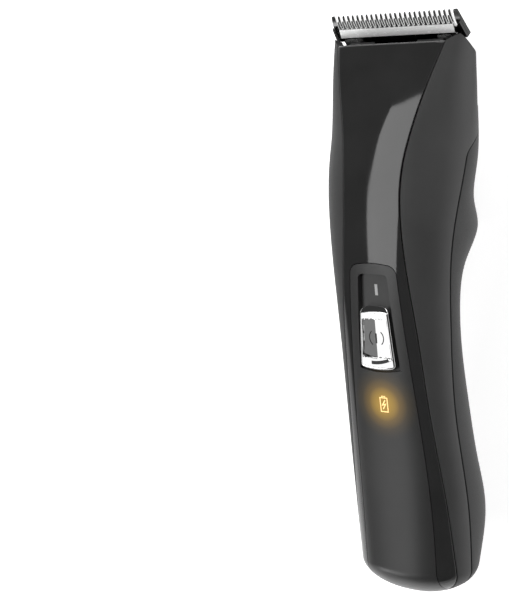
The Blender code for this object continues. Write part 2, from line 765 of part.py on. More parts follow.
# ---- drive ----------------------------------------------------------------------------
def build_drive():
    axis = (0.0, 1.0, 0.0)
    turned(
        "motor_can", (0.0, MOTOR_LOW_Y, MOTOR_Z), axis,
        (
            (0.0, 4.0), (1.6, 4.0), (1.6, MOTOR_R - 1.2), (2.6, MOTOR_R),
            (MOTOR_HIGH_Y - MOTOR_LOW_Y - 0.8, MOTOR_R), (MOTOR_HIGH_Y - MOTOR_LOW_Y, MOTOR_R - 0.8),
        ), 32, STEEL,
    )
    bracket = box("motor_bracket", (-13.0, 49.0, 12.6), (13.0, 50.4, 33.2), SATIN_GREY)
    opening = cylinder("bracket_eye", (0.0, 45.0, MOTOR_Z), (0.0, 55.0, MOTOR_Z), 3.4, 24, None)
    cut(bracket, opening)
    for name, sign in (("motor_screw_right", 1.0), ("motor_screw_left", -1.0)):
        x = sign * 7.4
        turned(
            name, (x, 51.9, MOTOR_Z), (0.0, -1.0, 0.0),
            ((0.0, 1.5), (0.3, 1.8), (1.3, 1.8), (1.3, 0.95), (2.7, 0.95)), 16, DARK_STEEL,
        )
        hole = cylinder(name + "_hole", (x, 47.0, MOTOR_Z), (x, 53.0, MOTOR_Z), 1.1, 16, None)
        cut(bracket, hole)
    cylinder(
        "motor_shaft", (0.0, MOTOR_HIGH_Y + 0.2, MOTOR_Z), (0.0, 56.4, MOTOR_Z), SHAFT_R, 20, STEEL
    )
    hub = turned(
        "eccentric_hub", (0.0, 51.4, MOTOR_Z), axis,
        ((0.0, 3.6), (0.4, 4.0), (5.8, 4.0), (6.2, 3.6)), 28, WHITE_PLASTIC,
    )
    cut(hub, cylinder("hub_bore", (0.0, 49.0, MOTOR_Z), (0.0, 56.8, MOTOR_Z), 1.06, 20, None))
    cylinder(
        "crank_pin", (0.0, 57.7, MOTOR_Z + THROW), (0.0, 63.4, MOTOR_Z + THROW), CRANK_R, 20, STEEL
    )


def build_fork():
    """Drive fork behind the cutter: a saddle and two legs astride the crank pin."""
    outer = FORK_GAP + FORK_LEG
    outline = (
        (FORK_LOW_Y, 20.6), (67.0, 20.6), (71.6, 23.6), (72.2, 24.4), (72.2, 26.4),
        (FORK_LOW_Y, 26.4),
    )
    fork = prism("cutter_fork", outline, -outer, outer, profile_yz, WHITE_PLASTIC)
    slot = box(
        "fork_slot", (-FORK_GAP, FORK_LOW_Y - 2.0, 10.0), (FORK_GAP, FORK_SLOT_Y, 40.0), None
    )
    cut(fork, slot)


# ---- electrics ------------------------------------------------------------------------
def build_electrics():
    turned(
        "battery_cell", (0.0, CELL_LOW_Y, CELL_Z), (0.0, 1.0, 0.0),
        (
            (0.0, CELL_R - 0.4), (0.4, CELL_R), (CELL_HIGH_Y - CELL_LOW_Y - 1.6, CELL_R),
            (CELL_HIGH_Y - CELL_LOW_Y - 1.0, CELL_R - 0.7),
            (CELL_HIGH_Y - CELL_LOW_Y - 1.0, 2.7), (CELL_HIGH_Y - CELL_LOW_Y, 2.7),
        ), 28, CELL_WRAP,
    )
    box("battery_tab_positive", (-2.5, CELL_HIGH_Y + 0.1, 18.0), (2.5, CELL_HIGH_Y + 0.4, 25.6), STEEL)
    box("battery_tab_negative", (-2.5, CELL_LOW_Y - 0.4, 16.0), (2.5, CELL_LOW_Y - 0.1, 25.6), STEEL)
    tray = box("battery_tray", (-8.8, CELL_LOW_Y + 1.0, TRAY_Z), (8.8, 15.6, TRAY_Z + TRAY_THICK), MATT_BLACK)
    board = box(
        "circuit_board", (-BOARD_HALF, -40.0, BOARD_Z), (BOARD_HALF, 14.0, BOARD_Z + BOARD_THICK),
        BOARD_GREEN,
    )
    for name, y in (("board_screw_low", -36.0), ("board_screw_high", 9.0)):
        turned(
            name, (5.4, y, BOARD_Z + BOARD_THICK + 1.0), (0.0, 0.0, -1.0),
            ((0.0, 1.3), (0.3, 1.6), (0.9, 1.6), (0.9, 0.8), (3.6, 0.8)), 16, DARK_STEEL,
        )
        hole = cylinder(name + "_hole", (5.4, y, 25.0), (5.4, y, 34.0), 0.95, 16, None)
        cut(tray, hole)
        cut(board, hole)
    low = STEM_Y - STEM_HALF - 1.2
    high = STEM_Y + STEM_HALF + SLIDER_TRAVEL + 1.2
    top = BOARD_Z + BOARD_THICK
    body = box("slide_switch", (-3.4, low, top + 0.1), (3.4, high, top + 3.4), SATIN_GREY)
    cut(body, box("switch_trough", (-1.4, low + 0.8, top + 1.6), (1.4, high - 0.8, top + 6.0), None))
    box("charge_chip", (-3.6, -36.0, top + 0.1), (2.4, -30.0, top + 1.2), MATT_BLACK)


def build_socket():
    """Charging socket in the heel end, with its own small board."""
    z = (front_z(END_Y + 2.0) + back_z(END_Y + 2.0)) / 2.0
    wide = SOCKET_WIDE / 2.0
    high = SOCKET_HIGH / 2.0
    far = SOCKET_MOUTH_Y + SOCKET_DEEP
    socket = box("charge_socket", (-wide, SOCKET_MOUTH_Y, z - high), (wide, far, z + high), STEEL)
    w = wide - SOCKET_WALL
    h = high - SOCKET_WALL
    cut(socket, box("socket_mouth", (-w, END_Y - 9.5, z - h), (w, far - 0.6, z + h), None))
    box("socket_tongue", (-3.3, SOCKET_MOUTH_Y + 0.8, z - 0.35), (3.3, far - 0.8, z + 0.35), MATT_BLACK)
    under = z - high - 0.15
    box("socket_board", (-6.5, SOCKET_MOUTH_Y + 4.2, under - 1.0), (6.5, far + 5.3, under), BOARD_GREEN)
    reach = 0.3
    return box(
        "socket_slot", (-wide - reach, END_Y - 14.5, z - high - reach),
        (wide + reach, far + 0.5, z + high + reach), None,
    )


def build_case_screws(back):
    """One screw under the battery and one under the motor, its tip clear of the motor can."""
    under_motor = MOTOR_Z - MOTOR_R - CASE_SCREW_GAP - max(back_z(CASE_SCREW_HIGH_Y), 0.0) - 0.5
    for name, y, length in (
        ("case_screw_low", CASE_SCREW_LOW_Y, CASE_SCREW_LONG),
        ("case_screw_high", CASE_SCREW_HIGH_Y, under_motor),
    ):
        z = max(back_z(y), 0.0)
        turned(
            name, (0.0, y, z + 0.5), (0.0, 0.0, 1.0),
            ((0.0, 1.9), (0.3, 2.2), (1.4, 2.2), (1.4, 1.1), (length, 1.1)), 18, DARK_STEEL,
        )
        cut(back, cylinder(name + "_hole", (0.0, y, z - 4.0), (0.0, y, z + 6.0), 2.45, 18, None))


def build_hinge_ears(back):
    """Two ears on the back shell that hold the ends of the hinge pin."""
    for side, sign in (("right", 1.0), ("left", -1.0)):
        inner = sign * EAR_INNER
        outer = sign * EAR_OUTER
        arm = box(
            "ear_arm_" + side, (min(inner, outer), BACK_TOP_Y - 2.4, EAR_LOW_Z),
            (max(inner, outer), BACK_TOP_Y - 0.2, HINGE_Z), None,
        )
        cut(back, arm, "UNION")
        eye = cylinder(
            "ear_eye_" + side, (inner, HINGE_Y, HINGE_Z), (outer, HINGE_Y, HINGE_Z),
            KNUCKLE_R, 20, None,
        )
        cut(back, eye, "UNION")
        bore = cylinder(
            "ear_bore_" + side, (inner - sign, HINGE_Y, HINGE_Z), (outer + sign, HINGE_Y, HINGE_Z),
            HINGE_BORE, 20, None,
        )
        cut(back, bore)


def build_comb_catches(back):
    """Flat-bottomed catches in the corners behind the head, for a clip-on guide comb."""
    c = math.cos(CATCH_ANGLE)
    s = math.sin(CATCH_ANGLE)
    corners = ((-6.0, 0.0), (6.0, 0.0), (6.0, 6.0), (-6.0, 6.0))
    for side, sign in (("right", 1.0), ("left", -1.0)):
        outline = [(sign * (CATCH_X + a * s + b * c), CATCH_Z + a * c - b * s) for a, b in corners]
        tool = prism(
            "comb_catch_" + side, outline, CATCH_LOW_Y, CATCH_HIGH_Y,
            lambda a, b, d: Vector((a, d, b)), None,
        )
        cut(bpy.data.objects["wing_" + side], tool)
        cut(back, tool)


clear_scene()
PARTS = make_collection("hair_clipper")
CUTTERS = make_collection("cutters")
GLOSS_BLACK = make_material("gloss_black", (0.012, 0.012, 0.013), 0.12, 0.0)
MATT_GREY = make_material("matt_grey", (0.055, 0.056, 0.058), 0.55, 0.0)
MATT_BLACK = make_material("matt_black", (0.02, 0.02, 0.021), 0.6, 0.0)
SATIN_GREY = make_material("satin_grey", (0.05, 0.05, 0.052), 0.4, 0.0)
CHROME = make_material("chrome", (0.9, 0.9, 0.92), 0.06, 1.0)
STEEL = make_material("steel", (0.78, 0.78, 0.79), 0.25, 1.0)
DARK_STEEL = make_material("dark_steel", (0.35, 0.35, 0.36), 0.35, 1.0)
AMBER = make_material("amber", (0.95, 0.55, 0.15), 0.35, 0.0)
WHITE_PLASTIC = make_material("white_plastic", (0.8, 0.8, 0.78), 0.45, 0.0)
BOARD_GREEN = make_material("board_green", (0.02, 0.16, 0.07), 0.45, 0.0)
CELL_WRAP = make_material("cell_wrap", (0.05, 0.16, 0.42), 0.4, 0.0)
WING_END = wing_end()
BACK = build_housing()
build_panel()
build_slider()
build_light()
build_blades()
build_head()
build_springs()
build_drive()
build_fork()
build_electrics()
SLOT = build_socket()
for wall_name in ("front_shell", "back_shell", "control_panel", "wing_right", "wing_left"):
    cut(bpy.data.objects[wall_name], SLOT)
build_case_screws(BACK)
build_hinge_ears(BACK)
build_comb_catches(BACK)
pivot(
    "head_hinge_axis", (0.0, HINGE_Y, HINGE_Z),
    (
        "head_carrier", "comb_blade", "blade_screw_right", "blade_screw_left",
        "cutter_spring_right", "cutter_spring_left",
    ),
)
pivot("cutter_stroke_axis", blade_point(0.0, CUTTER_ROOT_S, CUTTER_LOW_K), ("cutter_blade", "cutter_fork"))
pivot("crank_axis", (0.0, MOTOR_HIGH_Y, MOTOR_Z), ("motor_shaft", "eccentric_hub", "crank_pin"))
pivot("switch_axis", (0.0, STEM_Y, track_z(STEM_Y)), ("switch_slider", "switch_stem"))
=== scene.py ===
"""Looks of the cordless hair clipper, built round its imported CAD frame.

X runs across the clipper, Y along it with the blade at +Y, Z up from the surface it lies on.
Shapes are worked out in millimetres and written to meshes in metres."""

import math

import bmesh
import bpy
import numpy as np
from mathutils import Matrix, Vector


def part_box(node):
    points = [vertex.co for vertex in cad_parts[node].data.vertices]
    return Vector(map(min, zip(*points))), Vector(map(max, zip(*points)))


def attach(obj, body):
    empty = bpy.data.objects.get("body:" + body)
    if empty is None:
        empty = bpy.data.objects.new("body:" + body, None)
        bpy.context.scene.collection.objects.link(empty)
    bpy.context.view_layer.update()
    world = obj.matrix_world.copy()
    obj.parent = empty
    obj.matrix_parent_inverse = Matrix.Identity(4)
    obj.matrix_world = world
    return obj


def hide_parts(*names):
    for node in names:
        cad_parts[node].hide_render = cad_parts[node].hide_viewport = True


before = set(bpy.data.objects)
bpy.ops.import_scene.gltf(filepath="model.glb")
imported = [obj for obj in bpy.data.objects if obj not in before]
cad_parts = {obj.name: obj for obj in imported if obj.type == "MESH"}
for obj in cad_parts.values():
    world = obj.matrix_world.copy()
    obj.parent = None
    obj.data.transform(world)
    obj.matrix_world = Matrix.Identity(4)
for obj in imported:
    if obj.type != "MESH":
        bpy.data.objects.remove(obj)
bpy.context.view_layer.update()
MM = 0.001
SHARP = math.radians(32.0)

# ---- camera ----
CAMERA_AT = (0.25713, 0.06708, 0.39562)
CAMERA_RIGHT = (0.76859, -0.04037, -0.63847)
CAMERA_UP = (-0.05792, 0.98952, -0.13229)
CAMERA_BACK = (0.63711, 0.13866, 0.7582)
CAMERA_LENS = 99.0

# ---- studio ----
BOX_Z = 1.2
CARDS = (                 # overhead softboxes: name, radiance, outline
    ("top_box", 3.6, (
        (-0.885, -0.26), (-0.3, -0.26), (-0.14, 0.055), (0.12, 0.51), (-0.785, 0.745),
    )),
    ("slider_box", 1.5, ((-1.03, -1.3), (-0.4, -1.3), (-0.4, -0.33), (-1.03, -0.33))),
    ("slider_fill", 0.22, ((-1.5, -1.3), (-1.04, -1.3), (-1.04, -0.43), (-1.5, -0.43))),
    ("blade_box", 9.0, ((-2.1, -2.05), (-1.32, -2.05), (-1.32, -1.32), (-2.1, -1.32))),
)
RIGHT_BOX_RADIANCE = 1.8
HEAD_BOX_RADIANCE = 3.0
SKY_RADIANCE = 0.05
HORIZON_RADIANCE = 1.1
HORIZON_RIGHT = 0.45      # dimmer on the right
HORIZON_TURN = (-0.3, 0.7)  # X of the directions between which it dims
HORIZON_LOW = 0.12        # sine of the elevation where the white horizon starts to fade
HORIZON_HIGH = 0.26
FLOOR_RADIANCE = 0.8      # the table is lit from below as well
FLOOR_HALF = 8.0

# ---- housing, the same lines as the CAD shells ----
END_Y = -80.5
END_LENGTH = 8.3
END_POWER = 1.97
HEAD_Y = 72.4
BACK_TOP_Y = 64.4
FRONT_POWER = 2.4
HEAD_FRONT_POWER = 4.0
BACK_POWER = 1.9
FLATTEN_START_Y = 45.0
WALL = 1.8
PANEL_DEPTH = 3.0
SEAM = 0.007              # half the gap between covers, as an angle; finer than the CAD's
MEAN_RADIUS = 18.0
STATIONS = (
    (-73.8, 17.3, 32.5, 21.7, 16.0), (-53.8, 17.9, 33.7, 23.5, 15.3),
    (-27.8, 17.2, 36.7, 27.6, 13.4), (-1.8, 17.5, 39.7, 29.4, 11.8),
    (20.2, 18.9, 40.9, 29.7, 9.7), (40.2, 20.7, 39.9, 25.3, 9.7),
    (58.2, 20.7, 35.4, 20.9, 13.4), (73.2, 21.2, 30.1, 20.3, 17.8),
)
BACK_LINE = (
    (-73.8, 6.6), (-59.8, -0.9), (-43.8, 2.7), (-25.8, 6.9), (-9.8, 11.1), (4.2, 11.8),
    (13.2, 7.1), (21.2, -0.9), (30.2, 4.1), (40.2, 4.0), (54.2, 6.7), (73.2, 15.0),
)
SEAM_TURN_START = 42.0
SEAM_TURN_END = 52.0
WING_REACH = 17.0
PANEL_EDGE = ((-84.0, 11.3), (-60.0, 11.5), (-35.0, 10.7), (-10.0, 9.1), (9.0, 7.7))
PANEL_CORNER = 3.0
PANEL_TOP_Y = 14.0
PANEL_CROWN = 0.4
PANEL_GAP = 0.2
RECESS_DEPTH = 1.5
RECESS_LOW_Y = -15.5
RECESS_HIGH_Y = 11.5
RECESS_CORNER = 1.4
SOCKET_CLEAR = 0.3
PAST_END_Y = -95.0        # beyond the heel

# ---- switch, light and blade set ----
SLIDER_LOW_Y = -14.9
SLIDER_HIGH_Y = 2.8
SLIDER_TOP_HALF = 4.5
SLIDER_LOW_HALF = 5.7
SLIDER_PROUD = 0.7
SLIDER_TRAVEL = 8.0
SLIDER_CLEAR = 0.35
SLIDER_CORNER = 1.3
LOW_ROUND = 0.8           # depth of the rounding along the heel end and the sides
SIDE_ROUND = 0.5
PLATE_SIDE = 0.75         # thumb plate: its margins inside the slider
PLATE_TOP = 3.3
PLATE_LOW = 3.6
PLATE_BOW = 0.25
PLATE_STEP = 0.22
PLATE_DEPTH = 0.10
PLATE_SLOPE = 0.075       # the plate falls away to both sides of RIDGE_X
RIDGE_X = 0.3
LOW_BOW = 0.7             # how far the corners of each end stand back
HIGH_BOW = 0.5
BOW_REACH = 5.0
HIGH_BEVEL = 1.5          # sloped face at the blade end
HIGH_SLOPE = 0.55
POWER_MARK = (0.2, -5.9)
MARK_SINK = 0.01          # how far the marks reach into what they lie on
STEM_Y = -11.0
STEM_HALF = 1.4
STEM_WIDE = 1.0
LIGHT_X = 0.3
LIGHT_Y = -24.4
LIGHT_WIDE = 3.4
LIGHT_LONG = 5.4
LIGHT_GAP = 0.12
# amber glow painted on the panel as emission, fading in between these distances from the charge
# light
PAINTED_GLOW_START = 11.0         # distances from the light
PAINTED_GLOW_FULL = 1.0
BLADE_ANGLE = math.radians(38.5)
TIP_Y = 80.5
TIP_Z = 27.3
BLADE_WIDE = 40.8
BLADE_FLARE = 0.1
COMB_THICK = 1.2
COMB_TEETH = 24
END_TOOTH = 1.3
TOOTH = 0.8
COMB_TIPS = (             # s, narrowing, low k, high k from the tips down
    (0.0, 0.2, 0.04, 0.3), (0.1, 0.1, 0.0, 0.38), (0.3, 0.04, 0.0, 0.48),
    (1.0, 0.02, 0.0, 0.72), (2.4, 0.0, 0.0, 1.0), (4.4, 0.0, 0.0, 1.2),
    (4.72, -0.1, 0.0, 1.2), (4.86, -0.2, 0.0, 1.2),
)
COMB_ROOT_S = 4.9
COMB_MIDDLE_S = 6.4
COMB_BASE_S = 8.0
COMB_ROOT_FLARE = 0.28
RAIL_INNER = 20.0
RAIL_INSET = 0.05
RAIL_S = 3.0
RAIL_LOW_K = 0.6
RAIL_K = 2.0
TONGUE_HALF = 15.0
TONGUE_S = 17.0
CUTTER_HALF = 18.6
CUTTER_TOOTH = 0.66
CUTTER_TIP_S = 0.9
CUTTER_TIPS = (           # s, narrowing, thickness from the tips down
    (CUTTER_TIP_S, 0.18, 0.17), (CUTTER_TIP_S + 0.2, 0.08, 0.27),
    (1.6, 0.02, 0.38), (2.5, 0.0, 0.48), (3.1, 0.0, 0.55), (3.3, -0.12, 0.58),
)
CUTTER_ROOT_S = 3.4
CUTTER_ROOT_THICK = 0.6
CUTTER_ROOT_FLARE = 0.25
CUTTER_LOW_K = 1.35
CUTTER_BAND_K = 2.65
CUTTER_BAND_S = 5.8
# metallic of the cutter's painted bright band, kept low so the band also shows bright in diffuse
# light
BAND_METALLIC = 0.4
CUTTER_REAR_K = 2.1
CUTTER_BASE_S = 8.4
BLADE_SCREW_X = 10.0
BLADE_SCREW_S = 13.8
WING_TOP_Y = 74.6
WING_TOP_X = 17.3
WING_TOP_SLOPE = 0.55
WING_CUT_ANGLE = math.radians(54.0)
WING_CUT_Z = 23.9
CATCH_ANGLE = math.radians(40.0)
CATCH_X = 17.66
CATCH_Z = 15.04
CATCH_LOW_Y = 55.0
CATCH_HIGH_Y = 61.0
EAR_INNER = 10.4          # ears that hold the hinge pin
EAR_OUTER = 14.2
EAR_LOW_Z = 13.3
EAR_R = 1.9
EAR_BORE = 0.88

# ---- screw holes and edges ----
CASE_SCREW_HOLE = 2.45    # radii
BLADE_SCREW_HOLE = 2.1
EDGE = 0.3                # rounding of the shells' edges
TOP_EDGE = 0.6            # rounding of the front cover's top edge
TOOTH_EDGE = 0.06
NODE_EDGE = 0.06          # rounding of the CAD nodes that stay
ON_SKIN = 0.01            # a point this near the skin takes the skin's normal
SKIN_AGREES = 0.93        # where its face turns this much the same way


# ---- smooth curves ----
def natural_spline(xs, values):
    """A natural cubic through the points, as a function of an array."""
    xs = np.array(xs, dtype=float)
    values = np.array(values, dtype=float)
    count = len(xs)
    step = np.diff(xs)
    matrix = np.eye(count)
    right = np.zeros(count)
    for i in range(1, count - 1):
        matrix[i, i - 1:i + 2] = (step[i - 1], 2.0 * (step[i - 1] + step[i]), step[i])
        rise_after = (values[i + 1] - values[i]) / step[i]
        rise_before = (values[i] - values[i - 1]) / step[i - 1]
        right[i] = 6.0 * (rise_after - rise_before)
    bend = np.linalg.solve(matrix, right)

    def curve(x):
        x = np.asarray(x, dtype=float)
        i = np.clip(np.searchsorted(xs, x) - 1, 0, count - 2)
        h = step[i]
        a = (xs[i + 1] - x) / h
        b = (x - xs[i]) / h
        cubic = (a**3 - a) * bend[i] + (b**3 - b) * bend[i + 1]
        return a * values[i] + b * values[i + 1] + cubic * h * h / 6.0

    return curve


STATION_Y = [s[0] for s in STATIONS]
half_width = natural_spline(STATION_Y, [s[1] for s in STATIONS])
front_z = natural_spline(STATION_Y, [s[2] for s in STATIONS])
side_z = natural_spline(STATION_Y, [s[3] for s in STATIONS])
panel_half = natural_spline(STATION_Y, [s[4] for s in STATIONS])
back_z = natural_spline([p[0] for p in BACK_LINE], [p[1] for p in BACK_LINE])
panel_edge = natural_spline([p[0] for p in PANEL_EDGE], [p[1] for p in PANEL_EDGE])


def smooth_step(value):
    value = np.clip(value, 0.0, 1.0)
    return value * value * (3.0 - 2.0 * value)


def front_power(y):
    blend = smooth_step((y - FLATTEN_START_Y) / (STATIONS[-1][0] - FLATTEN_START_Y))
    return FRONT_POWER + (HEAD_FRONT_POWER - FRONT_POWER) * blend


def end_scale(depth):
    inside = 1.0 - np.clip(depth, 0.0, 1.0)
    return (1.0 - inside**END_POWER) ** (1.0 / END_POWER)


def section_point(y, angle, inset):
    """Points of the housing's skin, moved in by inset; arrays of the same shape."""
    y, angle, inset = np.broadcast_arrays(
        np.asarray(y, dtype=float), np.asarray(angle, dtype=float), np.asarray(inset, dtype=float)
    )
    depth = np.minimum((y - END_Y) / END_LENGTH, 1.0)
    scale = end_scale(depth)
    y = y + inset * (1.0 - depth)
    wide = half_width(y) - inset
    side = side_z(y)
    c = np.cos(angle)
    s = np.sin(angle)
    power = np.where(s >= 0.0, front_power(y), BACK_POWER)
    high = np.where(s >= 0.0, front_z(y) - side, side - back_z(y)) - inset
    x = wide * np.sign(c) * np.abs(c) ** (2.0 / power)
    z = side + high * np.sign(s) * np.abs(s) ** (2.0 / power)
    middle = (front_z(y) + back_z(y)) / 2.0
    z = middle + (z - middle) * scale
    return np.stack((x * scale, y, np.maximum(z, inset)), axis=-1)


def skin_value(p):
    """Zero on the housing's skin, with the sign of the outside, in about millimetres."""
    x, y, z = p[..., 0], p[..., 1], p[..., 2]
    scale = np.maximum(end_scale((y - END_Y) / END_LENGTH), 0.02)
    middle = (front_z(y) + back_z(y)) / 2.0
    x = np.abs(x) / scale
    z = middle + (z - middle) / scale
    side = side_z(y)
    upper = z >= side
    power = np.where(upper, front_power(y), BACK_POWER)
    high = np.where(upper, front_z(y) - side, side - back_z(y))
    reach = (x / half_width(y)) ** power + (np.abs(z - side) / high) ** power
    return (reach ** (1.0 / power) - 1.0) * MEAN_RADIUS


def skin_normal(p):
    step = 0.02
    parts = []
    for k in range(3):
        shift = np.zeros(3)
        shift[k] = step
        parts.append(skin_value(p + shift) - skin_value(p - shift))
    slope = np.stack(parts, axis=-1)
    return slope / np.maximum(np.linalg.norm(slope, axis=-1, keepdims=True), 1e-9)


def front_angle(y):
    return np.arccos((panel_half(y) / half_width(y)) ** (front_power(y) / 2.0))


def back_angle(y):
    turn = smooth_step((y - SEAM_TURN_START) / (SEAM_TURN_END - SEAM_TURN_START))
    return -np.arccos((WING_REACH / half_width(y)) ** (BACK_POWER / 2.0)) * turn


def surface_z(x, y):
    """Height of the front of the skin over a point of the plan."""
    scale = end_scale(np.minimum((y - END_Y) / END_LENGTH, 1.0))
    middle = (front_z(y) + back_z(y)) / 2.0
    side = side_z(y)
    power = front_power(y)
    reach = np.clip(np.abs(x) / scale / half_width(y), 0.0, 0.9999)
    z = side + (front_z(y) - side) * (1.0 - reach**power) ** (1.0 / power)
    return middle + (z - middle) * scale


# ---- mesh helpers ----
def make_object(name, mesh, material, body, nodes=()):
    item = bpy.data.objects.new(name, mesh)
    bpy.context.scene.collection.objects.link(item)
    if material is not None:
        mesh.materials.clear()
        mesh.materials.append(material)
    if body is not None:
        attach(item, body)
    if nodes:
        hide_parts(*nodes)
    return item


def mesh_from(name, points, faces):
    """A mesh in metres from points in millimetres, its faces turned outwards."""
    mesh = bpy.data.meshes.new(name)
    mesh.from_pydata((np.asarray(points, dtype=float) * MM).tolist(), [], faces)
    edit = bmesh.new()
    edit.from_mesh(mesh)
    bmesh.ops.remove_doubles(edit, verts=edit.verts, dist=1e-7)
    bmesh.ops.recalc_face_normals(edit, faces=edit.faces)
    edit.to_mesh(mesh)
    edit.free()
    mesh.shade_smooth()
    mesh.set_sharp_from_angle(angle=SHARP)
    return mesh


def wall_mesh(name, outer, inner):
    """Closed solid between two grids of points with the same rows and columns."""
    rows, columns = outer.shape[:2]
    points = np.concatenate((outer.reshape(-1, 3), inner.reshape(-1, 3)))
    size = rows * columns
    faces = []
    for i in range(rows - 1):
        for k in range(columns - 1):
            a = i * columns + k
            faces.append((a, a + 1, a + columns + 1, a + columns))
            faces.append((size + a, size + a + columns, size + a + columns + 1, size + a + 1))
        for k in (0, columns - 1):
            a = i * columns + k
            faces.append((a, a + columns, size + a + columns, size + a))
    for i in (0, rows - 1):
        for k in range(columns - 1):
            a = i * columns + k
            faces.append((a, a + 1, size + a + 1, size + a))
    return mesh_from(name, points, faces)


def tool_object(name, mesh):
    """A cutting solid, removed once it has been used."""
    return make_object(name, mesh, None, None)


def box_tool(name, low, high):
    xs, ys, zs = zip(low, high)
    points = [(x, y, z) for x in xs for y in ys for z in zs]
    faces = [(0, 1, 3, 2), (4, 6, 7, 5), (0, 4, 5, 1), (2, 3, 7, 6), (0, 2, 6, 4), (1, 5, 7, 3)]
    return tool_object(name, mesh_from(name, points, faces))


def prism_mesh(name, outline, low, high, place):
    """An outline of pairs between two depths; place maps arrays (a, b, depth) to points."""
    outline = np.array(outline, dtype=float)
    count = len(outline)
    points = np.concatenate([
        place(outline[:, 0], outline[:, 1], np.full(count, depth)) for depth in (low, high)
    ])
    faces = [tuple(range(count)), tuple(range(count, 2 * count))]
    faces += [(k, (k + 1) % count, count + (k + 1) % count, count + k) for k in range(count)]
    return mesh_from(name, points, faces)


def plan(a, b, c):
    return np.stack((a, b, c), axis=-1)


def blade_point(x, s, k):
    """Points in the blade set: s from the tips, k inwards from the skin plane."""
    x, s, k = np.broadcast_arrays(
        np.asarray(x, dtype=float), np.asarray(s, dtype=float), np.asarray(k, dtype=float)
    )
    y = TIP_Y - s * math.cos(BLADE_ANGLE) - k * math.sin(BLADE_ANGLE)
    z = TIP_Z - s * math.sin(BLADE_ANGLE) + k * math.cos(BLADE_ANGLE)
    return np.stack((x, y, z), axis=-1)


def carve(item, tools, operation="DIFFERENCE"):
    """Apply exact booleans, then remove the tools."""
    for tool in tools:
        change = item.modifiers.new("cut", "BOOLEAN")
        change.operation = operation
        change.solver = "EXACT"
        change.object = tool
    bake(item)
    for tool in tools:
        bpy.data.objects.remove(tool, do_unlink=True)


def bake(item):
    """Apply the modifiers to the mesh and mark its sharp edges again."""
    view = bpy.context.evaluated_depsgraph_get()
    mesh = bpy.data.meshes.new_from_object(item.evaluated_get(view))
    item.modifiers.clear()
    item.data = mesh
    mesh.shade_smooth()
    mesh.set_sharp_from_angle(angle=SHARP)


def follow_skin(item):
    """Give the faces on the housing's skin the skin's own normals, so cuts leave no dents."""
    mesh = item.data
    points = np.empty(len(mesh.vertices) * 3)
    mesh.vertices.foreach_get("co", points)
    points = points.reshape(-1, 3) / MM
    corners = np.empty(len(mesh.loops), dtype=int)
    mesh.loops.foreach_get("vertex_index", corners)
    normals = np.empty(len(mesh.loops) * 3)
    mesh.corner_normals.foreach_get("vector", normals)
    normals = normals.reshape(-1, 3)
    ideal = skin_normal(points)
    near = (np.abs(skin_value(points)) < ON_SKIN) & (points[:, 2] > 0.05)
    face_normals = np.empty(len(mesh.polygons) * 3)
    mesh.polygons.foreach_get("normal", face_normals)
    totals = np.empty(len(mesh.polygons), dtype=int)
    mesh.polygons.foreach_get("loop_total", totals)
    per_corner = np.repeat(face_normals.reshape(-1, 3), totals, axis=0)
    agree = np.einsum("ij,ij->i", per_corner, ideal[corners]) > SKIN_AGREES
    use = near[corners] & agree
    normals[use] = ideal[corners][use]
    mesh.normals_split_custom_set(normals.tolist())


# ---- materials ----
def map_range(tree, ends, results=(0.0, 1.0), smooth=False):
    """A node that takes one pair of values to another."""
    made = tree.nodes.new("ShaderNodeMapRange")
    if smooth:
        made.interpolation_type = "SMOOTHSTEP"
    for key, value in zip(("From Min", "From Max", "To Min", "To Max"), (*ends, *results)):
        made.inputs[key].default_value = value
    return made


class Look:
    """A Principled material whose colour, roughness and relief vary through nodes."""

    def __init__(self, name, roughness, metallic=0.0):
        self.material = bpy.data.materials.new(name)
        self.material.use_nodes = True
        self.tree = self.material.node_tree
        self.shader = self.tree.nodes["Principled BSDF"]
        self.shader.inputs["Metallic"].default_value = metallic
        self.shader.inputs["Roughness"].default_value = roughness
        self.place = self.node("ShaderNodeTexCoord").outputs["Object"]

    def node(self, kind, **values):
        made = self.tree.nodes.new(kind)
        for key, value in values.items():
            if hasattr(made, key):
                setattr(made, key, value)
            else:
                made.inputs[key.replace("_", " ")].default_value = value
        return made

    def link(self, output, target):
        self.tree.links.new(output, target)

    def noise(self, size, detail=3.0, stretch=(1.0, 1.0, 1.0)):
        """Noise with features of about size millimetres."""
        mapping = self.node("ShaderNodeMapping")
        mapping.inputs["Scale"].default_value = stretch
        self.link(self.place, mapping.inputs["Vector"])
        made = self.node(
            "ShaderNodeTexNoise", Scale=1.0 / (size * MM), Detail=detail, Roughness=0.55
        )
        self.link(mapping.outputs["Vector"], made.inputs["Vector"])
        return made.outputs["Fac"]

    def ramp(self, factor, stops):
        made = self.node("ShaderNodeValToRGB")
        ramp = made.color_ramp
        while len(ramp.elements) < len(stops):
            ramp.elements.new(0.5)
        for element, (at, colour) in zip(ramp.elements, stops):
            element.position = at
            element.color = (*colour, 1.0)
        self.link(factor, made.inputs["Fac"])
        return made.outputs["Color"]

    def colour(self, factor, stops):
        self.link(self.ramp(factor, stops), self.shader.inputs["Base Color"])

    def spread(self, factor, low, high):
        """Roughness between low and high."""
        made = map_range(self.tree, (0.3, 0.7), (low, high))
        self.link(factor, made.inputs["Value"])
        self.link(made.outputs["Result"], self.shader.inputs["Roughness"])

    def relief(self, factor, depth):
        """Bump of about depth millimetres."""
        made = self.node("ShaderNodeBump", Strength=1.0, Distance=depth * MM)
        self.link(factor, made.inputs["Height"])
        self.link(made.outputs["Normal"], self.shader.inputs["Normal"])


def grey(value, warmth=0.0):
    return (value * (1.0 + warmth), value, value * (1.0 - warmth))


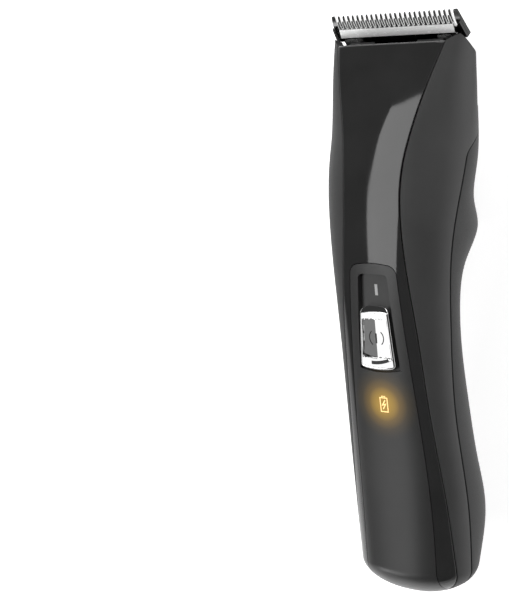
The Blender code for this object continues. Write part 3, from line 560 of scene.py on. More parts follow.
def plain_look(
    name, colour, roughness, metallic, grain, relief, vary=0.18, stretch=(1.0, 1.0, 1.0)
):
    """A finish with a fine grain of the given size and slow variation over the surface."""
    look = Look(name, roughness, metallic)
    slow = look.noise(14.0, 2.0)
    fine = look.noise(grain, 4.0, stretch)
    dark = tuple(c * (1.0 - vary) for c in colour)
    light = tuple(min(c * (1.0 + vary), 1.0) for c in colour)
    look.colour(slow, ((0.3, dark), (0.7, light)))
    look.spread(fine, roughness * 0.85, min(roughness * 1.15, 1.0))
    look.relief(fine, relief)
    return look


def blade_look(name, bright, dark, low, high, roughness, grain, stretch):
    """Dark steel with a bright band painted between two distances down the blade as a reflection;
    the band is less metallic, so it shows bright in diffuse light too.
    """
    look = plain_look(name, bright, roughness, 1.0, grain, 0.002, 0.05, stretch)
    along = look.node("ShaderNodeVectorMath", operation="DOT_PRODUCT")
    along.inputs[1].default_value = (0.0, -math.cos(BLADE_ANGLE), -math.sin(BLADE_ANGLE))
    look.link(look.place, along.inputs[0])
    start = -(TIP_Y * math.cos(BLADE_ANGLE) + TIP_Z * math.sin(BLADE_ANGLE))
    made = map_range(look.tree, ((start + low - 1.0) * MM, (start + high + 1.0) * MM))
    look.link(along.outputs["Value"], made.inputs["Value"])
    step = 1.0 / (high - low + 2.0)
    where = (0.9 * step, 1.1 * step, 1.0 - 1.1 * step, 1.0 - 0.9 * step)
    shades = (dark, bright, bright, dark)
    # painted reflection: bright base colour in the band, dark steel elsewhere
    look.colour(made.outputs["Result"], tuple(zip(where, shades)))
    # the band is less metallic, so its painted brightness also shows in diffuse light
    metal = [grey(v) for v in (1.0, BAND_METALLIC, BAND_METALLIC, 1.0)]
    satin = look.ramp(made.outputs["Result"], tuple(zip(where, metal)))
    look.link(satin, look.shader.inputs["Metallic"])
    return look


GLOSS = plain_look("gloss_cover", grey(0.029), 0.06, 0.0, 0.9, 0.0006, 0.1)
GRIP = plain_look("matt_grip", grey(0.053), 0.55, 0.0, 0.18, 0.012, 0.06)
BACK = plain_look("matt_back", grey(0.018), 0.5, 0.0, 0.18, 0.012, 0.06)
STEEL = plain_look("ground_steel", grey(0.72), 0.22, 1.0, 0.12, 0.004, 0.05, (1.0, 0.06, 0.06))
COMB_STEEL = plain_look("comb_steel", grey(0.05), 0.16, 1.0, 0.12, 0.002, 0.05, (1.0, 0.06, 0.06))
# the cutter's bright band is a painted reflection in its base colour
CUTTER_STEEL = blade_look(
    "cutter_steel_painted_band", grey(0.95), grey(0.04), CUTTER_ROOT_S, CUTTER_BAND_S, 0.25, 0.1,
    (0.05, 1.0, 1.0),
)
DARK_STEEL = plain_look("screw_steel", grey(0.3), 0.32, 1.0, 0.1, 0.004)
CARRIER = plain_look("carrier_black", grey(0.018), 0.5, 0.0, 0.2, 0.01)
WHITE = plain_look("white_acetal", grey(0.75, 0.02), 0.4, 0.0, 0.3, 0.005, 0.05)
BOARD = plain_look("board_green", (0.015, 0.12, 0.05), 0.35, 0.0, 0.5, 0.01, 0.3)
WRAP = plain_look("cell_wrap", (0.03, 0.12, 0.36), 0.3, 0.0, 0.8, 0.005, 0.15)
CAN = plain_look("motor_steel", grey(0.55), 0.3, 1.0, 0.15, 0.004, 0.08, (1.0, 0.06, 1.0))
for matt in (GRIP, BACK):
    matt.shader.inputs["Specular IOR Level"].default_value = 0.25
CHROME = plain_look("chrome", grey(0.66), 0.05, 1.0, 0.5, 0.0004, 0.03)
MARK = plain_look("mark_white", grey(0.6), 0.5, 0.0, 0.2, 0.004, 0.08)
JET = plain_look("inlay_black", grey(0.002), 0.3, 0.0, 0.2, 0.002, 0.08)


def panel_look():
    """Satin panel, with an amber glow painted on round the charge light as emission from the panel
    itself.
    """
    look = plain_look("panel_satin_painted_glow", grey(0.037), 0.34, 0.0, 0.25, 0.004, 0.08)
    offset = look.node("ShaderNodeVectorMath", operation="DISTANCE")
    offset.inputs[1].default_value = (LIGHT_X * MM, LIGHT_Y * MM, front_z(LIGHT_Y) * MM)
    look.link(look.place, offset.inputs[0])
    made = map_range(look.tree, (PAINTED_GLOW_START * MM, PAINTED_GLOW_FULL * MM), smooth=True)
    look.link(offset.outputs["Value"], made.inputs["Value"])
    glow = look.ramp(made.outputs["Result"], (
        (0.0, (0.0, 0.0, 0.0)), (0.3, (0.03, 0.018, 0.002)), (0.65, (0.13, 0.072, 0.003)),
        (1.0, (0.4, 0.23, 0.01)),
    ))
    # painted glow: the panel's own emission stands in for the charge light's spill
    look.link(glow, look.shader.inputs["Emission Color"])
    look.shader.inputs["Emission Strength"].default_value = 1.0
    return look


def glow_look():
    """The lit battery mark."""
    look = plain_look("light_mark", (0.9, 0.6, 0.25), 0.4, 0.0, 0.3, 0.002)
    glow = look.ramp(look.noise(1.0), ((0.3, (1.0, 0.62, 0.22)), (0.7, (1.0, 0.72, 0.34))))
    look.link(glow, look.shader.inputs["Emission Color"])
    look.shader.inputs["Emission Strength"].default_value = 1.0
    return look


PANEL = panel_look()
GLOW = glow_look()


# ---- housing ----
def fillet(radius, steps=4):
    """(distance from the edge, inset) pairs of a rounded edge, from the side wall inwards."""
    turns = [math.radians(90.0 * k / steps) for k in range(steps + 1)]
    return [(radius * (1.0 - math.cos(t)), radius * (1.0 - math.sin(t))) for t in turns]


def body_rows(top, edge):
    """Rows along Y with their inset, close together round the heel and at the top edge."""
    turns = np.linspace(math.acos(1.0 - 0.012), math.pi / 2.0, 16)
    ys = list(END_Y + END_LENGTH * (1.0 - np.cos(turns)))
    ys += list(np.arange(END_Y + END_LENGTH + 1.0, top - edge - 0.2, 1.0))
    rows = [(y, 0.0) for y in ys]
    rows += [(top - d, i) for d, i in reversed(fillet(edge, 6))]
    return rows


def loft_shell(name, top, low, high, columns, wall, top_edge=EDGE):
    """Closed wall of the housing between two seam angles, its outer edges rounded."""
    outer = []
    inner = []
    edge = fillet(EDGE)
    for y, row_inset in body_rows(top, top_edge):
        dense = np.linspace(low(y), high(y), 500)
        path = section_point(y, dense, 0.0)
        length = np.concatenate(([0.0], np.cumsum(np.linalg.norm(np.diff(path, axis=0), axis=1))))
        total = length[-1]
        shrink = min(1.0, total / (4.0 * EDGE))
        near = [(d * shrink, i * shrink) for d, i in edge]
        middle = np.linspace(EDGE * shrink, total - EDGE * shrink, columns + 1)[1:-1]
        places = [d for d, _ in near] + list(middle) + [total - d for d, _ in reversed(near)]
        insets = [i for _, i in near] + [0.0] * len(middle) + [i for _, i in reversed(near)]
        angles = np.interp(places, length, dense)
        outer.append(section_point(y, angles, np.maximum(insets, row_inset)))
        inner.append(section_point(y, angles, wall))
    return wall_mesh(name, np.array(outer), np.array(inner))


def panel_border(grow, fine=8):
    """Half of the panel's outline as (half width, y), from the heel to the top middle."""
    corner_x = float(panel_edge(PANEL_TOP_Y - PANEL_CORNER)) - PANEL_CORNER
    ys = np.arange(-84.0, PANEL_TOP_Y - PANEL_CORNER, 2.0)
    border = [(float(panel_edge(y)) + grow, float(y)) for y in ys]
    reach = PANEL_CORNER + grow
    for k in range(fine + 1):
        a = math.pi / 2.0 * k / fine
        border.append((
            corner_x + reach * math.cos(a), PANEL_TOP_Y - PANEL_CORNER + reach * math.sin(a)
        ))
    for k in range(1, fine + 1):
        x = corner_x * (1.0 - k / fine)
        crown = PANEL_CROWN * (1.0 - (x / corner_x) ** 2)
        border.append((x, PANEL_TOP_Y + crown + grow))
    return border


def panel_outline(grow):
    right = panel_border(grow)
    left = [(-x, y) for x, y in reversed(right[:-1])]
    return right + left


def socket_slot():
    """Opening for the charging socket, through the heel."""
    low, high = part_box("charge_socket")
    return box_tool(
        "socket_slot",
        (low.x / MM - SOCKET_CLEAR, PAST_END_Y, low.z / MM - SOCKET_CLEAR),
        (high.x / MM + SOCKET_CLEAR, high.y / MM + 0.5, high.z / MM + SOCKET_CLEAR),
    )


def profile_yz(a, b, c):
    """Outline in Y and Z, extruded along X."""
    return np.stack((c, a, b), axis=-1)


def wing_end():
    """Everything behind the slanted ends of the wings."""
    c = math.cos(WING_CUT_ANGLE)
    s = math.sin(WING_CUT_ANGLE)
    corners = ((-30.0, 0.0), (20.0, 0.0), (20.0, 30.0), (-30.0, 30.0))
    outline = [(HEAD_Y + a * c + b * s, WING_CUT_Z + a * s - b * c) for a, b in corners]
    return tool_object("wing_end", prism_mesh("wing_end", outline, -40.0, 40.0, profile_yz))


def wing_top(sign):
    """Everything above a wing's top edge, which rises from the front cover outwards."""
    rise = (26.0 - WING_TOP_X) * WING_TOP_SLOPE
    outline = (
        (5.0, HEAD_Y), (WING_TOP_X, HEAD_Y), (26.0, HEAD_Y + rise), (26.0, 90.0), (5.0, 90.0),
    )
    outline = [(sign * x, y) for x, y in outline]
    return tool_object("wing_top", prism_mesh("wing_top", outline, 0.0, 50.0, plan))


def round_tool(name, centre, radius, low, high, sides=48, place=plan):
    """A rod between two depths along Z, or along what place makes of it."""
    turns = np.linspace(0.0, 2.0 * math.pi, sides, endpoint=False)
    outline = [(centre[0] + radius * math.cos(t), centre[1] + radius * math.sin(t)) for t in turns]
    return tool_object(name, prism_mesh(name, outline, low, high, place))


def catch_tool(sign):
    """The flat-bottomed catch for a clip-on guide comb, behind the head."""
    c = math.cos(CATCH_ANGLE)
    s = math.sin(CATCH_ANGLE)
    corners = ((-6.0, 0.0), (6.0, 0.0), (6.0, 6.0), (-6.0, 6.0))
    outline = [(sign * (CATCH_X + a * s + b * c), CATCH_Z + a * c - b * s) for a, b in corners]
    mesh = prism_mesh(
        "catch", outline, CATCH_LOW_Y, CATCH_HIGH_Y, lambda a, b, d: np.stack((a, d, b), axis=-1)
    )
    return tool_object("catch", mesh)


def front_angles():
    """The angles of the front cover's two seams, as functions of y."""
    return (lambda y: front_angle(y) + SEAM), (lambda y: math.pi - front_angle(y) - SEAM)


def wing_angles(sign):
    if sign > 0:
        return (lambda y: back_angle(y) + SEAM), (lambda y: front_angle(y) - SEAM)
    return (lambda y: math.pi - back_angle(y) - SEAM), (lambda y: math.pi - front_angle(y) + SEAM)


def node_centre(name):
    low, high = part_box(name)
    return [(a + b) / 2.0 / MM for a, b in zip(low, high)]


def ear_tools():
    """Arms and eyes of the two ears that hold the hinge pin."""
    centre = node_centre("hinge_pin")[1:]
    tools = []
    for sign in (1.0, -1.0):
        low, high = sorted((sign * EAR_INNER, sign * EAR_OUTER))
        arm_low = (low, BACK_TOP_Y - 2.4, EAR_LOW_Z)
        arm_high = (high, BACK_TOP_Y - 0.2, centre[1])
        tools.append(box_tool("ear_arm", arm_low, arm_high))
        tools.append(round_tool("ear_eye", centre, EAR_R, low, high, 40, profile_yz))
    return tools


def build_covers():
    front = make_object(
        "front_cover",
        loft_shell("front_cover", HEAD_Y, *front_angles(), 40, WALL, TOP_EDGE),
        GLOSS.material, "housing", ("front_shell",),
    )
    opening = tool_object(
        "panel_opening", prism_mesh("panel_opening", panel_outline(PANEL_GAP), 20.0, 50.0, plan)
    )
    carve(front, [opening, socket_slot()])
    follow_skin(front)
    for side, sign in (("right", 1.0), ("left", -1.0)):
        mesh = loft_shell("grip_" + side, WING_TOP_Y, *wing_angles(sign), 26, WALL)
        grip = make_object(
            "grip_" + side, mesh, GRIP.material, "housing", ("wing_" + side,)
        )
        carve(grip, [wing_end(), wing_top(sign), socket_slot(), catch_tool(sign)])
        follow_skin(grip)
    back = make_object(
        "back_cover",
        loft_shell(
            "back_cover", BACK_TOP_Y, lambda y: -math.pi - back_angle(y) + SEAM,
            lambda y: back_angle(y) - SEAM, 56, WALL,
        ), BACK.material, "housing", ("back_shell",),
    )
    tools = [socket_slot(), catch_tool(1.0), catch_tool(-1.0)]
    for node in ("case_screw_low", "case_screw_high"):
        centre = node_centre(node)[:2]
        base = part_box(node)[0].z / MM
        tools.append(round_tool(node + "_hole", centre, CASE_SCREW_HOLE, base - 4.0, base + 6.0))
    carve(back, tools)
    carve(back, ear_tools(), "UNION")
    centre = node_centre("hinge_pin")[1:]
    carve(back, [round_tool("pin_bore", centre, EAR_BORE, -30.0, 30.0, 40, profile_yz)])
    follow_skin(back)


def track_z(y):
    slope = (front_z(RECESS_HIGH_Y) - front_z(RECESS_LOW_Y)) / (RECESS_HIGH_Y - RECESS_LOW_Y)
    return front_z(RECESS_LOW_Y) + slope * (y - RECESS_LOW_Y)


def slider_half(y):
    blend = (SLIDER_HIGH_Y - y) / (SLIDER_HIGH_Y - SLIDER_LOW_Y)
    return SLIDER_TOP_HALF + (SLIDER_LOW_HALF - SLIDER_TOP_HALF) * blend


def recess_half(y):
    return slider_half(y - SLIDER_TRAVEL) + SLIDER_CLEAR


def recess_tool():
    """The slider's track, with rounded corners at the blade end."""
    corner = RECESS_CORNER
    half = recess_half(RECESS_LOW_Y)
    outline = [(half * u, RECESS_LOW_Y + LOW_BOW * u * u) for u in np.linspace(-1.0, 1.0, 17)]
    high_half = recess_half(RECESS_HIGH_Y)
    for sign in (1.0, -1.0):
        arc = []
        for k in range(7):
            a = math.pi / 2.0 * k / 6
            arc.append((
                sign * (high_half - corner + corner * math.cos(a)),
                RECESS_HIGH_Y - corner + corner * math.sin(a),
            ))
        outline += arc if sign > 0 else arc[::-1]

    def on_track(x, y, lift):
        return np.stack((x, y, track_z(y) + lift), axis=-1)

    return tool_object("track", prism_mesh("track", outline, -RECESS_DEPTH, 6.0, on_track))


def light_opening():
    """Half width, low Y and high Y of the opening for the charge light."""
    half = LIGHT_WIDE / 2.0 + LIGHT_GAP
    low = LIGHT_Y - LIGHT_LONG / 2.0 - LIGHT_GAP
    high = LIGHT_Y + LIGHT_LONG / 2.0 + LIGHT_GAP
    return half, low, high


def build_panel():
    panel = make_object(
        "switch_panel",
        loft_shell("switch_panel", 20.0, *front_angles(), 40, PANEL_DEPTH),
        PANEL.material, "housing", ("control_panel",),
    )
    outline = tool_object("outline", prism_mesh("outline", panel_outline(0.0), 20.0, 50.0, plan))
    carve(panel, [outline], "INTERSECT")
    slot_low = STEM_Y - STEM_HALF - SLIDER_CLEAR
    slot_high = STEM_Y + STEM_HALF + SLIDER_TRAVEL + SLIDER_CLEAR
    half = STEM_WIDE + SLIDER_CLEAR
    reach, low, high = light_opening()
    carve(panel, [
        recess_tool(), socket_slot(),
        box_tool("stem_slot", (-half, slot_low, 30.0), (half, slot_high, 44.0)),
        box_tool("light_hole", (LIGHT_X - reach, low, 25.0), (LIGHT_X + reach, high, 44.0)),
    ])
    follow_skin(panel)


# ---- switch and light ----
def slider_height(x, y, half):
    """Height above the track: a sloped blade end, rounded edges and a sunken two-slope plate."""
    high_end = SLIDER_HIGH_Y - y
    low_end = y - SLIDER_LOW_Y
    side = half - np.abs(x)
    past = HIGH_BEVEL - high_end
    drop = HIGH_SLOPE * 0.5 * (past + np.sqrt(past ** 2 + 0.02))
    drop += LOW_ROUND * (1.0 - np.sqrt(1.0 - np.clip(1.0 - low_end, 0.0, 1.0) ** 2))
    drop += SIDE_ROUND * (1.0 - np.sqrt(1.0 - np.clip(1.0 - side / SIDE_ROUND, 0.0, 1.0) ** 2))
    bow = PLATE_BOW * (x / half) ** 2
    plate = np.minimum.reduce((
        side - PLATE_SIDE, high_end - PLATE_TOP - bow, low_end - PLATE_LOW + 2.0 * bow,
    ))
    inside = smooth_step(plate / PLATE_STEP)
    sink = PLATE_DEPTH + PLATE_SLOPE * np.abs(x - RIDGE_X)
    return SLIDER_PROUD - drop - inside * sink


def slider_bow(x, y):
    """How far a point of the slider moves along Y, so that both ends bow outwards."""
    across = (x / slider_half(y)) ** 2
    low = np.clip(1.0 - (y - SLIDER_LOW_Y) / BOW_REACH, 0.0, 1.0)
    high = np.clip(1.0 - (SLIDER_HIGH_Y - y) / BOW_REACH, 0.0, 1.0)
    return across * (LOW_BOW * low - HIGH_BOW * high)


def on_slider(points):
    """Put points given as x, y and height above the slider on its curved top."""
    x, y, lift = points.T
    along = y + slider_bow(x, y)
    top = track_z(along) + slider_height(x, y, slider_half(y))
    return np.column_stack((x, along, top + lift))


def build_slider():
    rows = np.unique(np.round(np.concatenate((
        SLIDER_LOW_Y + 1.0 * (1.0 - np.cos(np.linspace(0.0, math.pi / 2.0, 12))),
        np.arange(SLIDER_LOW_Y + 1.0, SLIDER_HIGH_Y - HIGH_BEVEL, 0.1),
        SLIDER_HIGH_Y - HIGH_BEVEL * (1.0 - np.cos(np.linspace(0.0, math.pi / 2.0, 14))),
    )), 5))
    corner = SLIDER_CORNER
    outer = []
    inner = []
    for y in rows:
        half = float(slider_half(y))
        from_end = min(y - SLIDER_LOW_Y, SLIDER_HIGH_Y - y)
        if from_end < corner:
            half -= corner - math.sqrt(max(corner**2 - (corner - from_end) ** 2, 0.0))
        around = np.linspace(-1.0, 1.0, 97)
        x = half * np.sign(around) * (1.0 - (1.0 - np.abs(around)) ** 1.3)
        along = y + slider_bow(x, y)
        top = track_z(along) + slider_height(x, np.full_like(x, y), half)
        outer.append(np.column_stack((x, along, top)))
        base = track_z(along) + SLIDER_CLEAR / 2.0 - RECESS_DEPTH
        inner.append(np.column_stack((x, along, base)))
    mesh = wall_mesh("thumb_slider", np.array(outer), np.array(inner))
    return make_object(
        "thumb_slider", mesh, CHROME.material, "power_slider", ("switch_slider",)
    )


def ribbon(points, width, thick, height, closed=False):
    """Points and faces of a flat strip along a line; height maps x, y to its underside."""
    line = np.array(points, dtype=float)
    ahead = np.roll(line, -1, axis=0) - line
    behind = line - np.roll(line, 1, axis=0)
    if not closed:
        ahead[-1] = behind[-1]
        behind[0] = ahead[0]
    ahead /= np.linalg.norm(ahead, axis=1, keepdims=True)
    behind /= np.linalg.norm(behind, axis=1, keepdims=True)
    mean = ahead + behind
    mean /= np.linalg.norm(mean, axis=1, keepdims=True)
    across = np.column_stack((-mean[:, 1], mean[:, 0]))
    reach = width / 2.0 / np.maximum(np.einsum("ij,ij->i", mean, ahead), 0.4)
    made = []
    for sign, lift in ((1.0, 0.0), (-1.0, 0.0), (-1.0, thick), (1.0, thick)):
        flat = line + across * (sign * reach)[:, None]
        made.append(np.column_stack((flat, height(flat[:, 0], flat[:, 1]) + lift)))
    count = len(line)
    faces = []
    for i in range(count if closed else count - 1):
        j = (i + 1) % count
        for k in range(4):
            n = (k + 1) % 4
            faces.append((k * count + i, n * count + i, n * count + j, k * count + j))
    if not closed:
        faces.append(tuple(k * count for k in range(4)))
        faces.append(tuple(k * count + count - 1 for k in range(4)))
    return np.concatenate(made), faces


def join(parts):
    """Several (points, faces) pairs as one."""
    points = []
    faces = []
    for some, theirs in parts:
        start = sum(len(p) for p in points)
        points.append(some)
        faces += [tuple(start + i for i in face) for face in theirs]
    return np.concatenate(points), faces


def resample(corners, step=0.25, closed=True):
    """Points every step along straight lines between corners."""
    line = []
    ends = corners[1:] + corners[:1] if closed else corners[1:]
    for a, b in zip(corners, ends):
        count = max(1, round(math.dist(a, b) / step))
        for k in range(count):
            line.append((a[0] + (b[0] - a[0]) * k / count, a[1] + (b[1] - a[1]) * k / count))
    return line if closed else line + [corners[-1]]


def build_lens():
    """Charge light: a window flush with the panel, with a glowing battery and bolt on it."""
    half, low, high = light_opening()
    grid_x, grid_y = np.meshgrid(
        np.linspace(LIGHT_X - half, LIGHT_X + half, 15), np.linspace(low, high, 21)
    )
    top = surface_z(grid_x, grid_y)
    outer = np.stack((grid_x, grid_y, top), axis=-1)
    base = float(front_z(LIGHT_Y)) - PANEL_DEPTH
    inner = np.stack((grid_x, grid_y, np.full_like(top, base)), axis=-1)
    # the window takes the panel's material, painted amber glow included
    lens = make_object(
        "light_lens", wall_mesh("light_lens", outer, inner), PANEL.material, "housing",
        ("light_window",),
    )
    follow_skin(lens)
    x, y = LIGHT_X, LIGHT_Y
    case = [(x - 1.15, y - 2.2), (x + 1.15, y - 2.2), (x + 1.15, y + 1.7), (x - 1.15, y + 1.7)]
    cap = [(x - 0.5, y + 1.85), (x - 0.5, y + 2.15), (x + 0.5, y + 2.15), (x + 0.5, y + 1.85)]
    bolt = [(x + 0.45, y + 1.1), (x - 0.5, y - 0.35), (x + 0.5, y - 0.05), (x - 0.4, y - 1.5)]

    def height(a, b):
        return surface_z(a, b) - MARK_SINK

    parts = [
        ribbon(resample(case), 0.29, 0.04, height, True),
        ribbon(resample(cap, closed=False), 0.22, 0.04, height),
        ribbon(resample(bolt, closed=False), 0.32, 0.04, height),
    ]
    mesh = mesh_from("light_mark", *join(parts))
    make_object("light_mark", mesh, GLOW.material, "housing", ())


def build_marks():
    """On mark in the track's floor, and a power mark and two dark inlays on the slider."""
    def track_floor(a, b):
        return track_z(b) - RECESS_DEPTH

    def flat(a, b):
        return np.full_like(a, -MARK_SINK)

    def strip(line, width):
        points, faces = ribbon(line, width, 0.04, flat)
        return on_slider(points), faces

    line = resample([(0.0, 5.6), (0.0, 8.6)], closed=False)
    mesh = mesh_from("on_mark", *ribbon(line, 0.9, 0.03, track_floor))
    make_object("on_mark", mesh, MARK.material, "housing", ())
    x, y = POWER_MARK
    parts = []
    for low, high in ((128.0, 236.0), (-48.0, 48.0)):
        turns = [math.radians(low + (high - low) * k / 24) for k in range(25)]
        parts.append(strip([(x + 2.3 * math.cos(a), y + 2.3 * math.sin(a)) for a in turns], 0.28))
    parts.append(strip(resample([(x, y - 1.4), (x, y + 1.3)], closed=False), 0.5))
    mesh = mesh_from("power_mark", *join(parts))
    make_object("power_mark", mesh, JET.material, "power_slider", ())
    low = SLIDER_LOW_Y
    grip = [(u, low + 2.1 + 0.026 * (u + 1.9) ** 2) for u in np.linspace(-1.9, 4.9, 30)]
    seam = [(u, low + 3.5 + 0.035 * u * u) for u in np.linspace(-4.7, 0.1, 22)]
    mesh = mesh_from("slider_inlay", *join([strip(grip, 0.95), strip(seam, 0.6)]))
    make_object("slider_inlay", mesh, JET.material, "power_slider", ())


# ---- blade set ----
def tooth_edges(half, teeth, pitch, width, end_width):
    """X positions of each tooth's two edges across a blade."""
    spans = []
    if end_width:
        spans.append((-half, -half + end_width))
    for k in range(teeth):
        middle = (k - (teeth - 1) / 2.0) * pitch
        spans.append((middle - width / 2.0, middle + width / 2.0))
    if end_width:
        spans.append((half - end_width, half))
    return spans


def toothed_plate(name, half, spans, tips, rows, tongue, root, flare=0.0):
    """A toothed plate. tips lists (s, narrowing, low k, high k) from the tooth ends down;
    rows lists (s, low k, high k) from the roots down; root widens the teeth at the roots."""
    points = []
    faces = []

    def pair(x, s, low, high):
        points.append(blade_point(x, s, low))
        points.append(blade_point(x, s, high))
        return len(points) - 2

    def skin(a, b, c, d):
        faces.append((a, b, c, d))
        faces.append((a + 1, b + 1, c + 1, d + 1))

    def wall(a, b):
        faces.append((a, b, b + 1, a + 1))

    def spread(x, s):
        return x * (1.0 + flare * s / half) if abs(x) == half else x

    xs = []
    for low_x, high_x in spans:
        xs += [max(low_x - root, -half), min(high_x + root, half)]
    grid = [[pair(spread(x, s), s, low, high) for x in xs] for s, low, high in rows]
    for upper, lower in zip(grid, grid[1:]):
        for k in range(len(xs) - 1):
            skin(upper[k], upper[k + 1], lower[k + 1], lower[k])
        wall(upper[0], lower[0])
        wall(upper[-1], lower[-1])
    for k in range(1, len(xs) - 1, 2):
        wall(grid[0][k], grid[0][k + 1])
    for t, (low_x, high_x) in enumerate(spans):
        left = grid[0][2 * t]
        right = grid[0][2 * t + 1]
        for s, narrow, low, high in reversed(tips):
            in_left = max(narrow, 0.0) if low_x == -half else narrow
            in_right = max(narrow, 0.0) if high_x == half else narrow
            a = pair(spread(low_x, s) + in_left, s, low, high)
            b = pair(spread(high_x, s) - in_right, s, low, high)
            skin(left, right, b, a)
            wall(left, a)
            wall(right, b)
            left, right = a, b
        wall(left, right)
    last = grid[-1]
    reach = [k for k, x in enumerate(xs) if tongue and abs(x) <= tongue[0]]
    for k in range(len(xs) - 1):
        if not reach or k < reach[0] or k >= reach[-1]:
            wall(last[k], last[k + 1])
    if reach:
        base = [pair(xs[k], tongue[1], rows[-1][1], rows[-1][2]) for k in reach]
        for j in range(len(reach) - 1):
            skin(last[reach[j]], last[reach[j + 1]], base[j + 1], base[j])
            wall(base[j], base[j + 1])
        wall(last[reach[0]], base[0])
        wall(last[reach[-1]], base[-1])
    return mesh_from(name, points, faces)


def soften(item, width, segments=2):
    """Round a piece's edges."""
    bevel = item.modifiers.new("edges", "BEVEL")
    bevel.width = width * MM
    bevel.segments = segments
    bevel.limit_method = "ANGLE"
    bevel.angle_limit = math.radians(40.0)
    bevel.harden_normals = False
    return item


def blade_hole(x):
    centre = (x, BLADE_SCREW_S)
    return round_tool("blade_hole", centre, BLADE_SCREW_HOLE, -1.0, 2.0, 40, blade_point)


def rail_tool(sign):
    """A raised side of the comb, outside the cutter."""
    half = BLADE_WIDE / 2.0
    outline = [(RAIL_INNER, RAIL_S)]
    outline += [(half + BLADE_FLARE * s - RAIL_INSET, s) for s in (RAIL_S, COMB_BASE_S)]
    outline += [(RAIL_INNER, COMB_BASE_S)]
    outline = [(sign * x, s) for x, s in outline]
    return tool_object("rail", prism_mesh("rail", outline, RAIL_LOW_K, RAIL_K, blade_point))


def build_blades():
    gap = (BLADE_WIDE - 2.0 * END_TOOTH - COMB_TEETH * TOOTH) / (COMB_TEETH + 1)
    pitch = TOOTH + gap
    half = BLADE_WIDE / 2.0
    comb = toothed_plate(
        "fixed_blade", half, tooth_edges(half, COMB_TEETH, pitch, TOOTH, END_TOOTH), COMB_TIPS,
        [(s, 0.0, COMB_THICK) for s in (COMB_ROOT_S, COMB_MIDDLE_S, COMB_BASE_S)],
        (TONGUE_HALF, TONGUE_S), COMB_ROOT_FLARE, BLADE_FLARE,
    )
    comb = make_object("fixed_blade", comb, COMB_STEEL.material, "head", ("comb_blade",))
    carve(comb, [rail_tool(1.0), rail_tool(-1.0)], "UNION")
    carve(comb, [blade_hole(BLADE_SCREW_X), blade_hole(-BLADE_SCREW_X)])
    polish_gullets(comb)
    soften(comb, TOOTH_EDGE)
    low = CUTTER_LOW_K
    cutter = toothed_plate(
        "moving_blade", CUTTER_HALF,
        tooth_edges(CUTTER_HALF, COMB_TEETH, pitch, CUTTER_TOOTH, 0.0),
        [(s, narrow, low, low + thick) for s, narrow, thick in CUTTER_TIPS],
        (
            (CUTTER_ROOT_S, low, low + CUTTER_ROOT_THICK),
            (CUTTER_BAND_S - 0.1, low, CUTTER_BAND_K), (CUTTER_BAND_S, low, CUTTER_BAND_K - 0.1),
            (CUTTER_BAND_S + 0.2, low, CUTTER_REAR_K), (CUTTER_BASE_S, low, CUTTER_REAR_K),
        ),
        None, CUTTER_ROOT_FLARE,
    )
    cutter = make_object(
        "moving_blade", cutter, CUTTER_STEEL.material, "cutter", ("cutter_blade",)
    )
    polish_gullets(cutter)
    soften(cutter, TOOTH_EDGE)


def polish_gullets(item, slant=0.6):
    """The walls between the teeth are ground bright."""
    item.data.materials.append(STEEL.material)
    for face in item.data.polygons:
        outer = abs(face.center.x) > (BLADE_WIDE / 2.0 - 0.3) * MM
        if abs(face.normal.x) > slant and not outer:
            face.material_index = 1


# ---- carried-over nodes ----
NODE_LOOKS = (
    (CARRIER, "head_carrier cutter_fork battery_tray charge_chip socket_tongue switch_stem"),
    (DARK_STEEL, "hinge_pin blade_screw_right blade_screw_left motor_bracket motor_screw_right"
                 " motor_screw_left board_screw_low board_screw_high slide_switch"
                 " case_screw_low case_screw_high"),
    (STEEL, "cutter_spring_right cutter_spring_left motor_shaft crank_pin battery_tab_positive"
            " battery_tab_negative charge_socket"),
    (BOARD, "circuit_board socket_board"), (CAN, "motor_can"), (WHITE, "eccentric_hub"),
    (WRAP, "battery_cell"), (GLOW, "light_chip"),
)


def dress_nodes():
    for look, names in NODE_LOOKS:
        for name in names.split():
            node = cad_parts[name]
            node.data.materials.clear()
            node.data.materials.append(look.material)
            soften(node, NODE_EDGE)


# ---- stage ----
def build_floor():
    edit = bmesh.new()
    bmesh.ops.create_grid(edit, x_segments=2, y_segments=2, size=FLOOR_HALF)
    mesh = bpy.data.meshes.new("floor")
    edit.to_mesh(mesh)
    edit.free()
    look = plain_look("floor_white", grey(0.9), 0.9, 0.0, 4.0, 0.001, 0.01)
    look.shader.inputs["Emission Color"].default_value = (1.0, 1.0, 1.0, 1.0)
    look.shader.inputs["Emission Strength"].default_value = FLOOR_RADIANCE
    floor = make_object("floor", mesh, look.material, None)


def add_light(name, at, target, size, radiance):
    """A rectangular softbox of the given radiance."""
    data = bpy.data.lights.new(name, "AREA")
    data.shape = "RECTANGLE"
    data.size, data.size_y = size
    data.energy = radiance * math.pi * size[0] * size[1]
    item = bpy.data.objects.new(name, data)
    item.location = at
    item.rotation_euler = (Vector(target) - Vector(at)).to_track_quat("-Z", "Y").to_euler()
    bpy.context.scene.collection.objects.link(item)
    return item


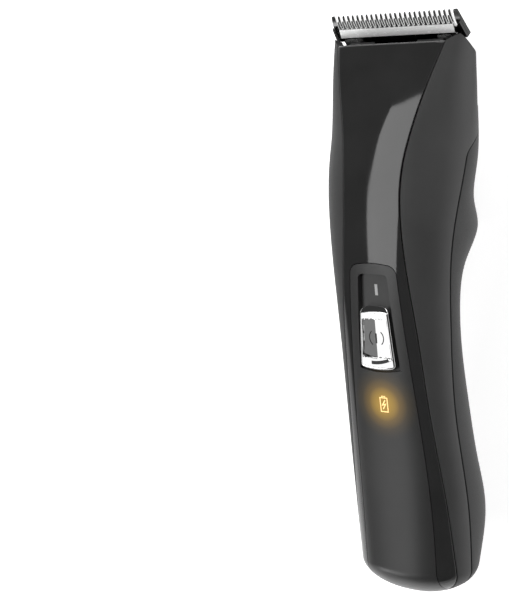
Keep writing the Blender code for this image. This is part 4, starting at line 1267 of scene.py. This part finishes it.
def build_card(name, corners, radiance):
    """A flat overhead softbox with the given outline, facing down."""
    mesh = bpy.data.meshes.new(name)
    mesh.from_pydata([(x, y, BOX_Z) for x, y in corners], [], [tuple(range(len(corners)))])
    material = bpy.data.materials.new(name)
    material.use_nodes = True
    shader = material.node_tree.nodes["Principled BSDF"]
    shader.inputs["Base Color"].default_value = (0.0, 0.0, 0.0, 1.0)
    shader.inputs["Emission Color"].default_value = (1.0, 1.0, 1.0, 1.0)
    shader.inputs["Emission Strength"].default_value = radiance
    box = make_object(name, mesh, material, None)
    box.visible_camera = False


def build_world():
    """White near the horizon, dark overhead."""
    world = bpy.data.worlds.new("studio")
    world.use_nodes = True
    tree = world.node_tree
    place = tree.nodes.new("ShaderNodeTexCoord")
    split = tree.nodes.new("ShaderNodeSeparateXYZ")
    fade = map_range(tree, (HORIZON_LOW, HORIZON_HIGH), (0.0, SKY_RADIANCE), True)
    side = map_range(tree, HORIZON_TURN, (HORIZON_RADIANCE, HORIZON_RIGHT), True)
    tree.links.new(place.outputs["Generated"], split.inputs["Vector"])
    tree.links.new(split.outputs["Z"], fade.inputs["Value"])
    tree.links.new(split.outputs["X"], side.inputs["Value"])
    tree.links.new(side.outputs["Result"], fade.inputs["To Min"])
    tree.links.new(fade.outputs["Result"], tree.nodes["Background"].inputs["Strength"])
    tree.nodes["Background"].inputs["Color"].default_value = (1.0, 1.0, 1.0, 1.0)
    bpy.context.scene.world = world


def build_lights():
    build_world()
    for name, radiance, corners in CARDS:
        build_card(name, corners, radiance)
    right_aim = (0.0, 0.03, 0.02)
    add_light("right_box", (0.9, 0.6, 0.75), right_aim, (0.8, 0.8), RIGHT_BOX_RADIANCE)
    add_light("head_box", (0.1, 1.3, 0.55), (0.0, 0.0, 0.02), (0.9, 0.5), HEAD_BOX_RADIANCE)
    bpy.context.scene.view_settings.view_transform = "Standard"


def build_camera():
    data = bpy.data.cameras.new("camera")
    data.lens = CAMERA_LENS
    camera = bpy.data.objects.new("camera", data)
    columns = [Vector(v).normalized() for v in (CAMERA_RIGHT, CAMERA_UP, CAMERA_BACK)]
    turn = Matrix(columns).transposed().to_4x4()
    camera.matrix_world = Matrix.Translation(CAMERA_AT) @ turn
    bpy.context.scene.collection.objects.link(camera)
    bpy.context.scene.camera = camera


build_camera()
build_floor()
build_lights()
build_covers()
build_panel()
build_slider()
build_lens()
build_marks()
build_blades()
dress_nodes()
bpy.context.view_layer.update()
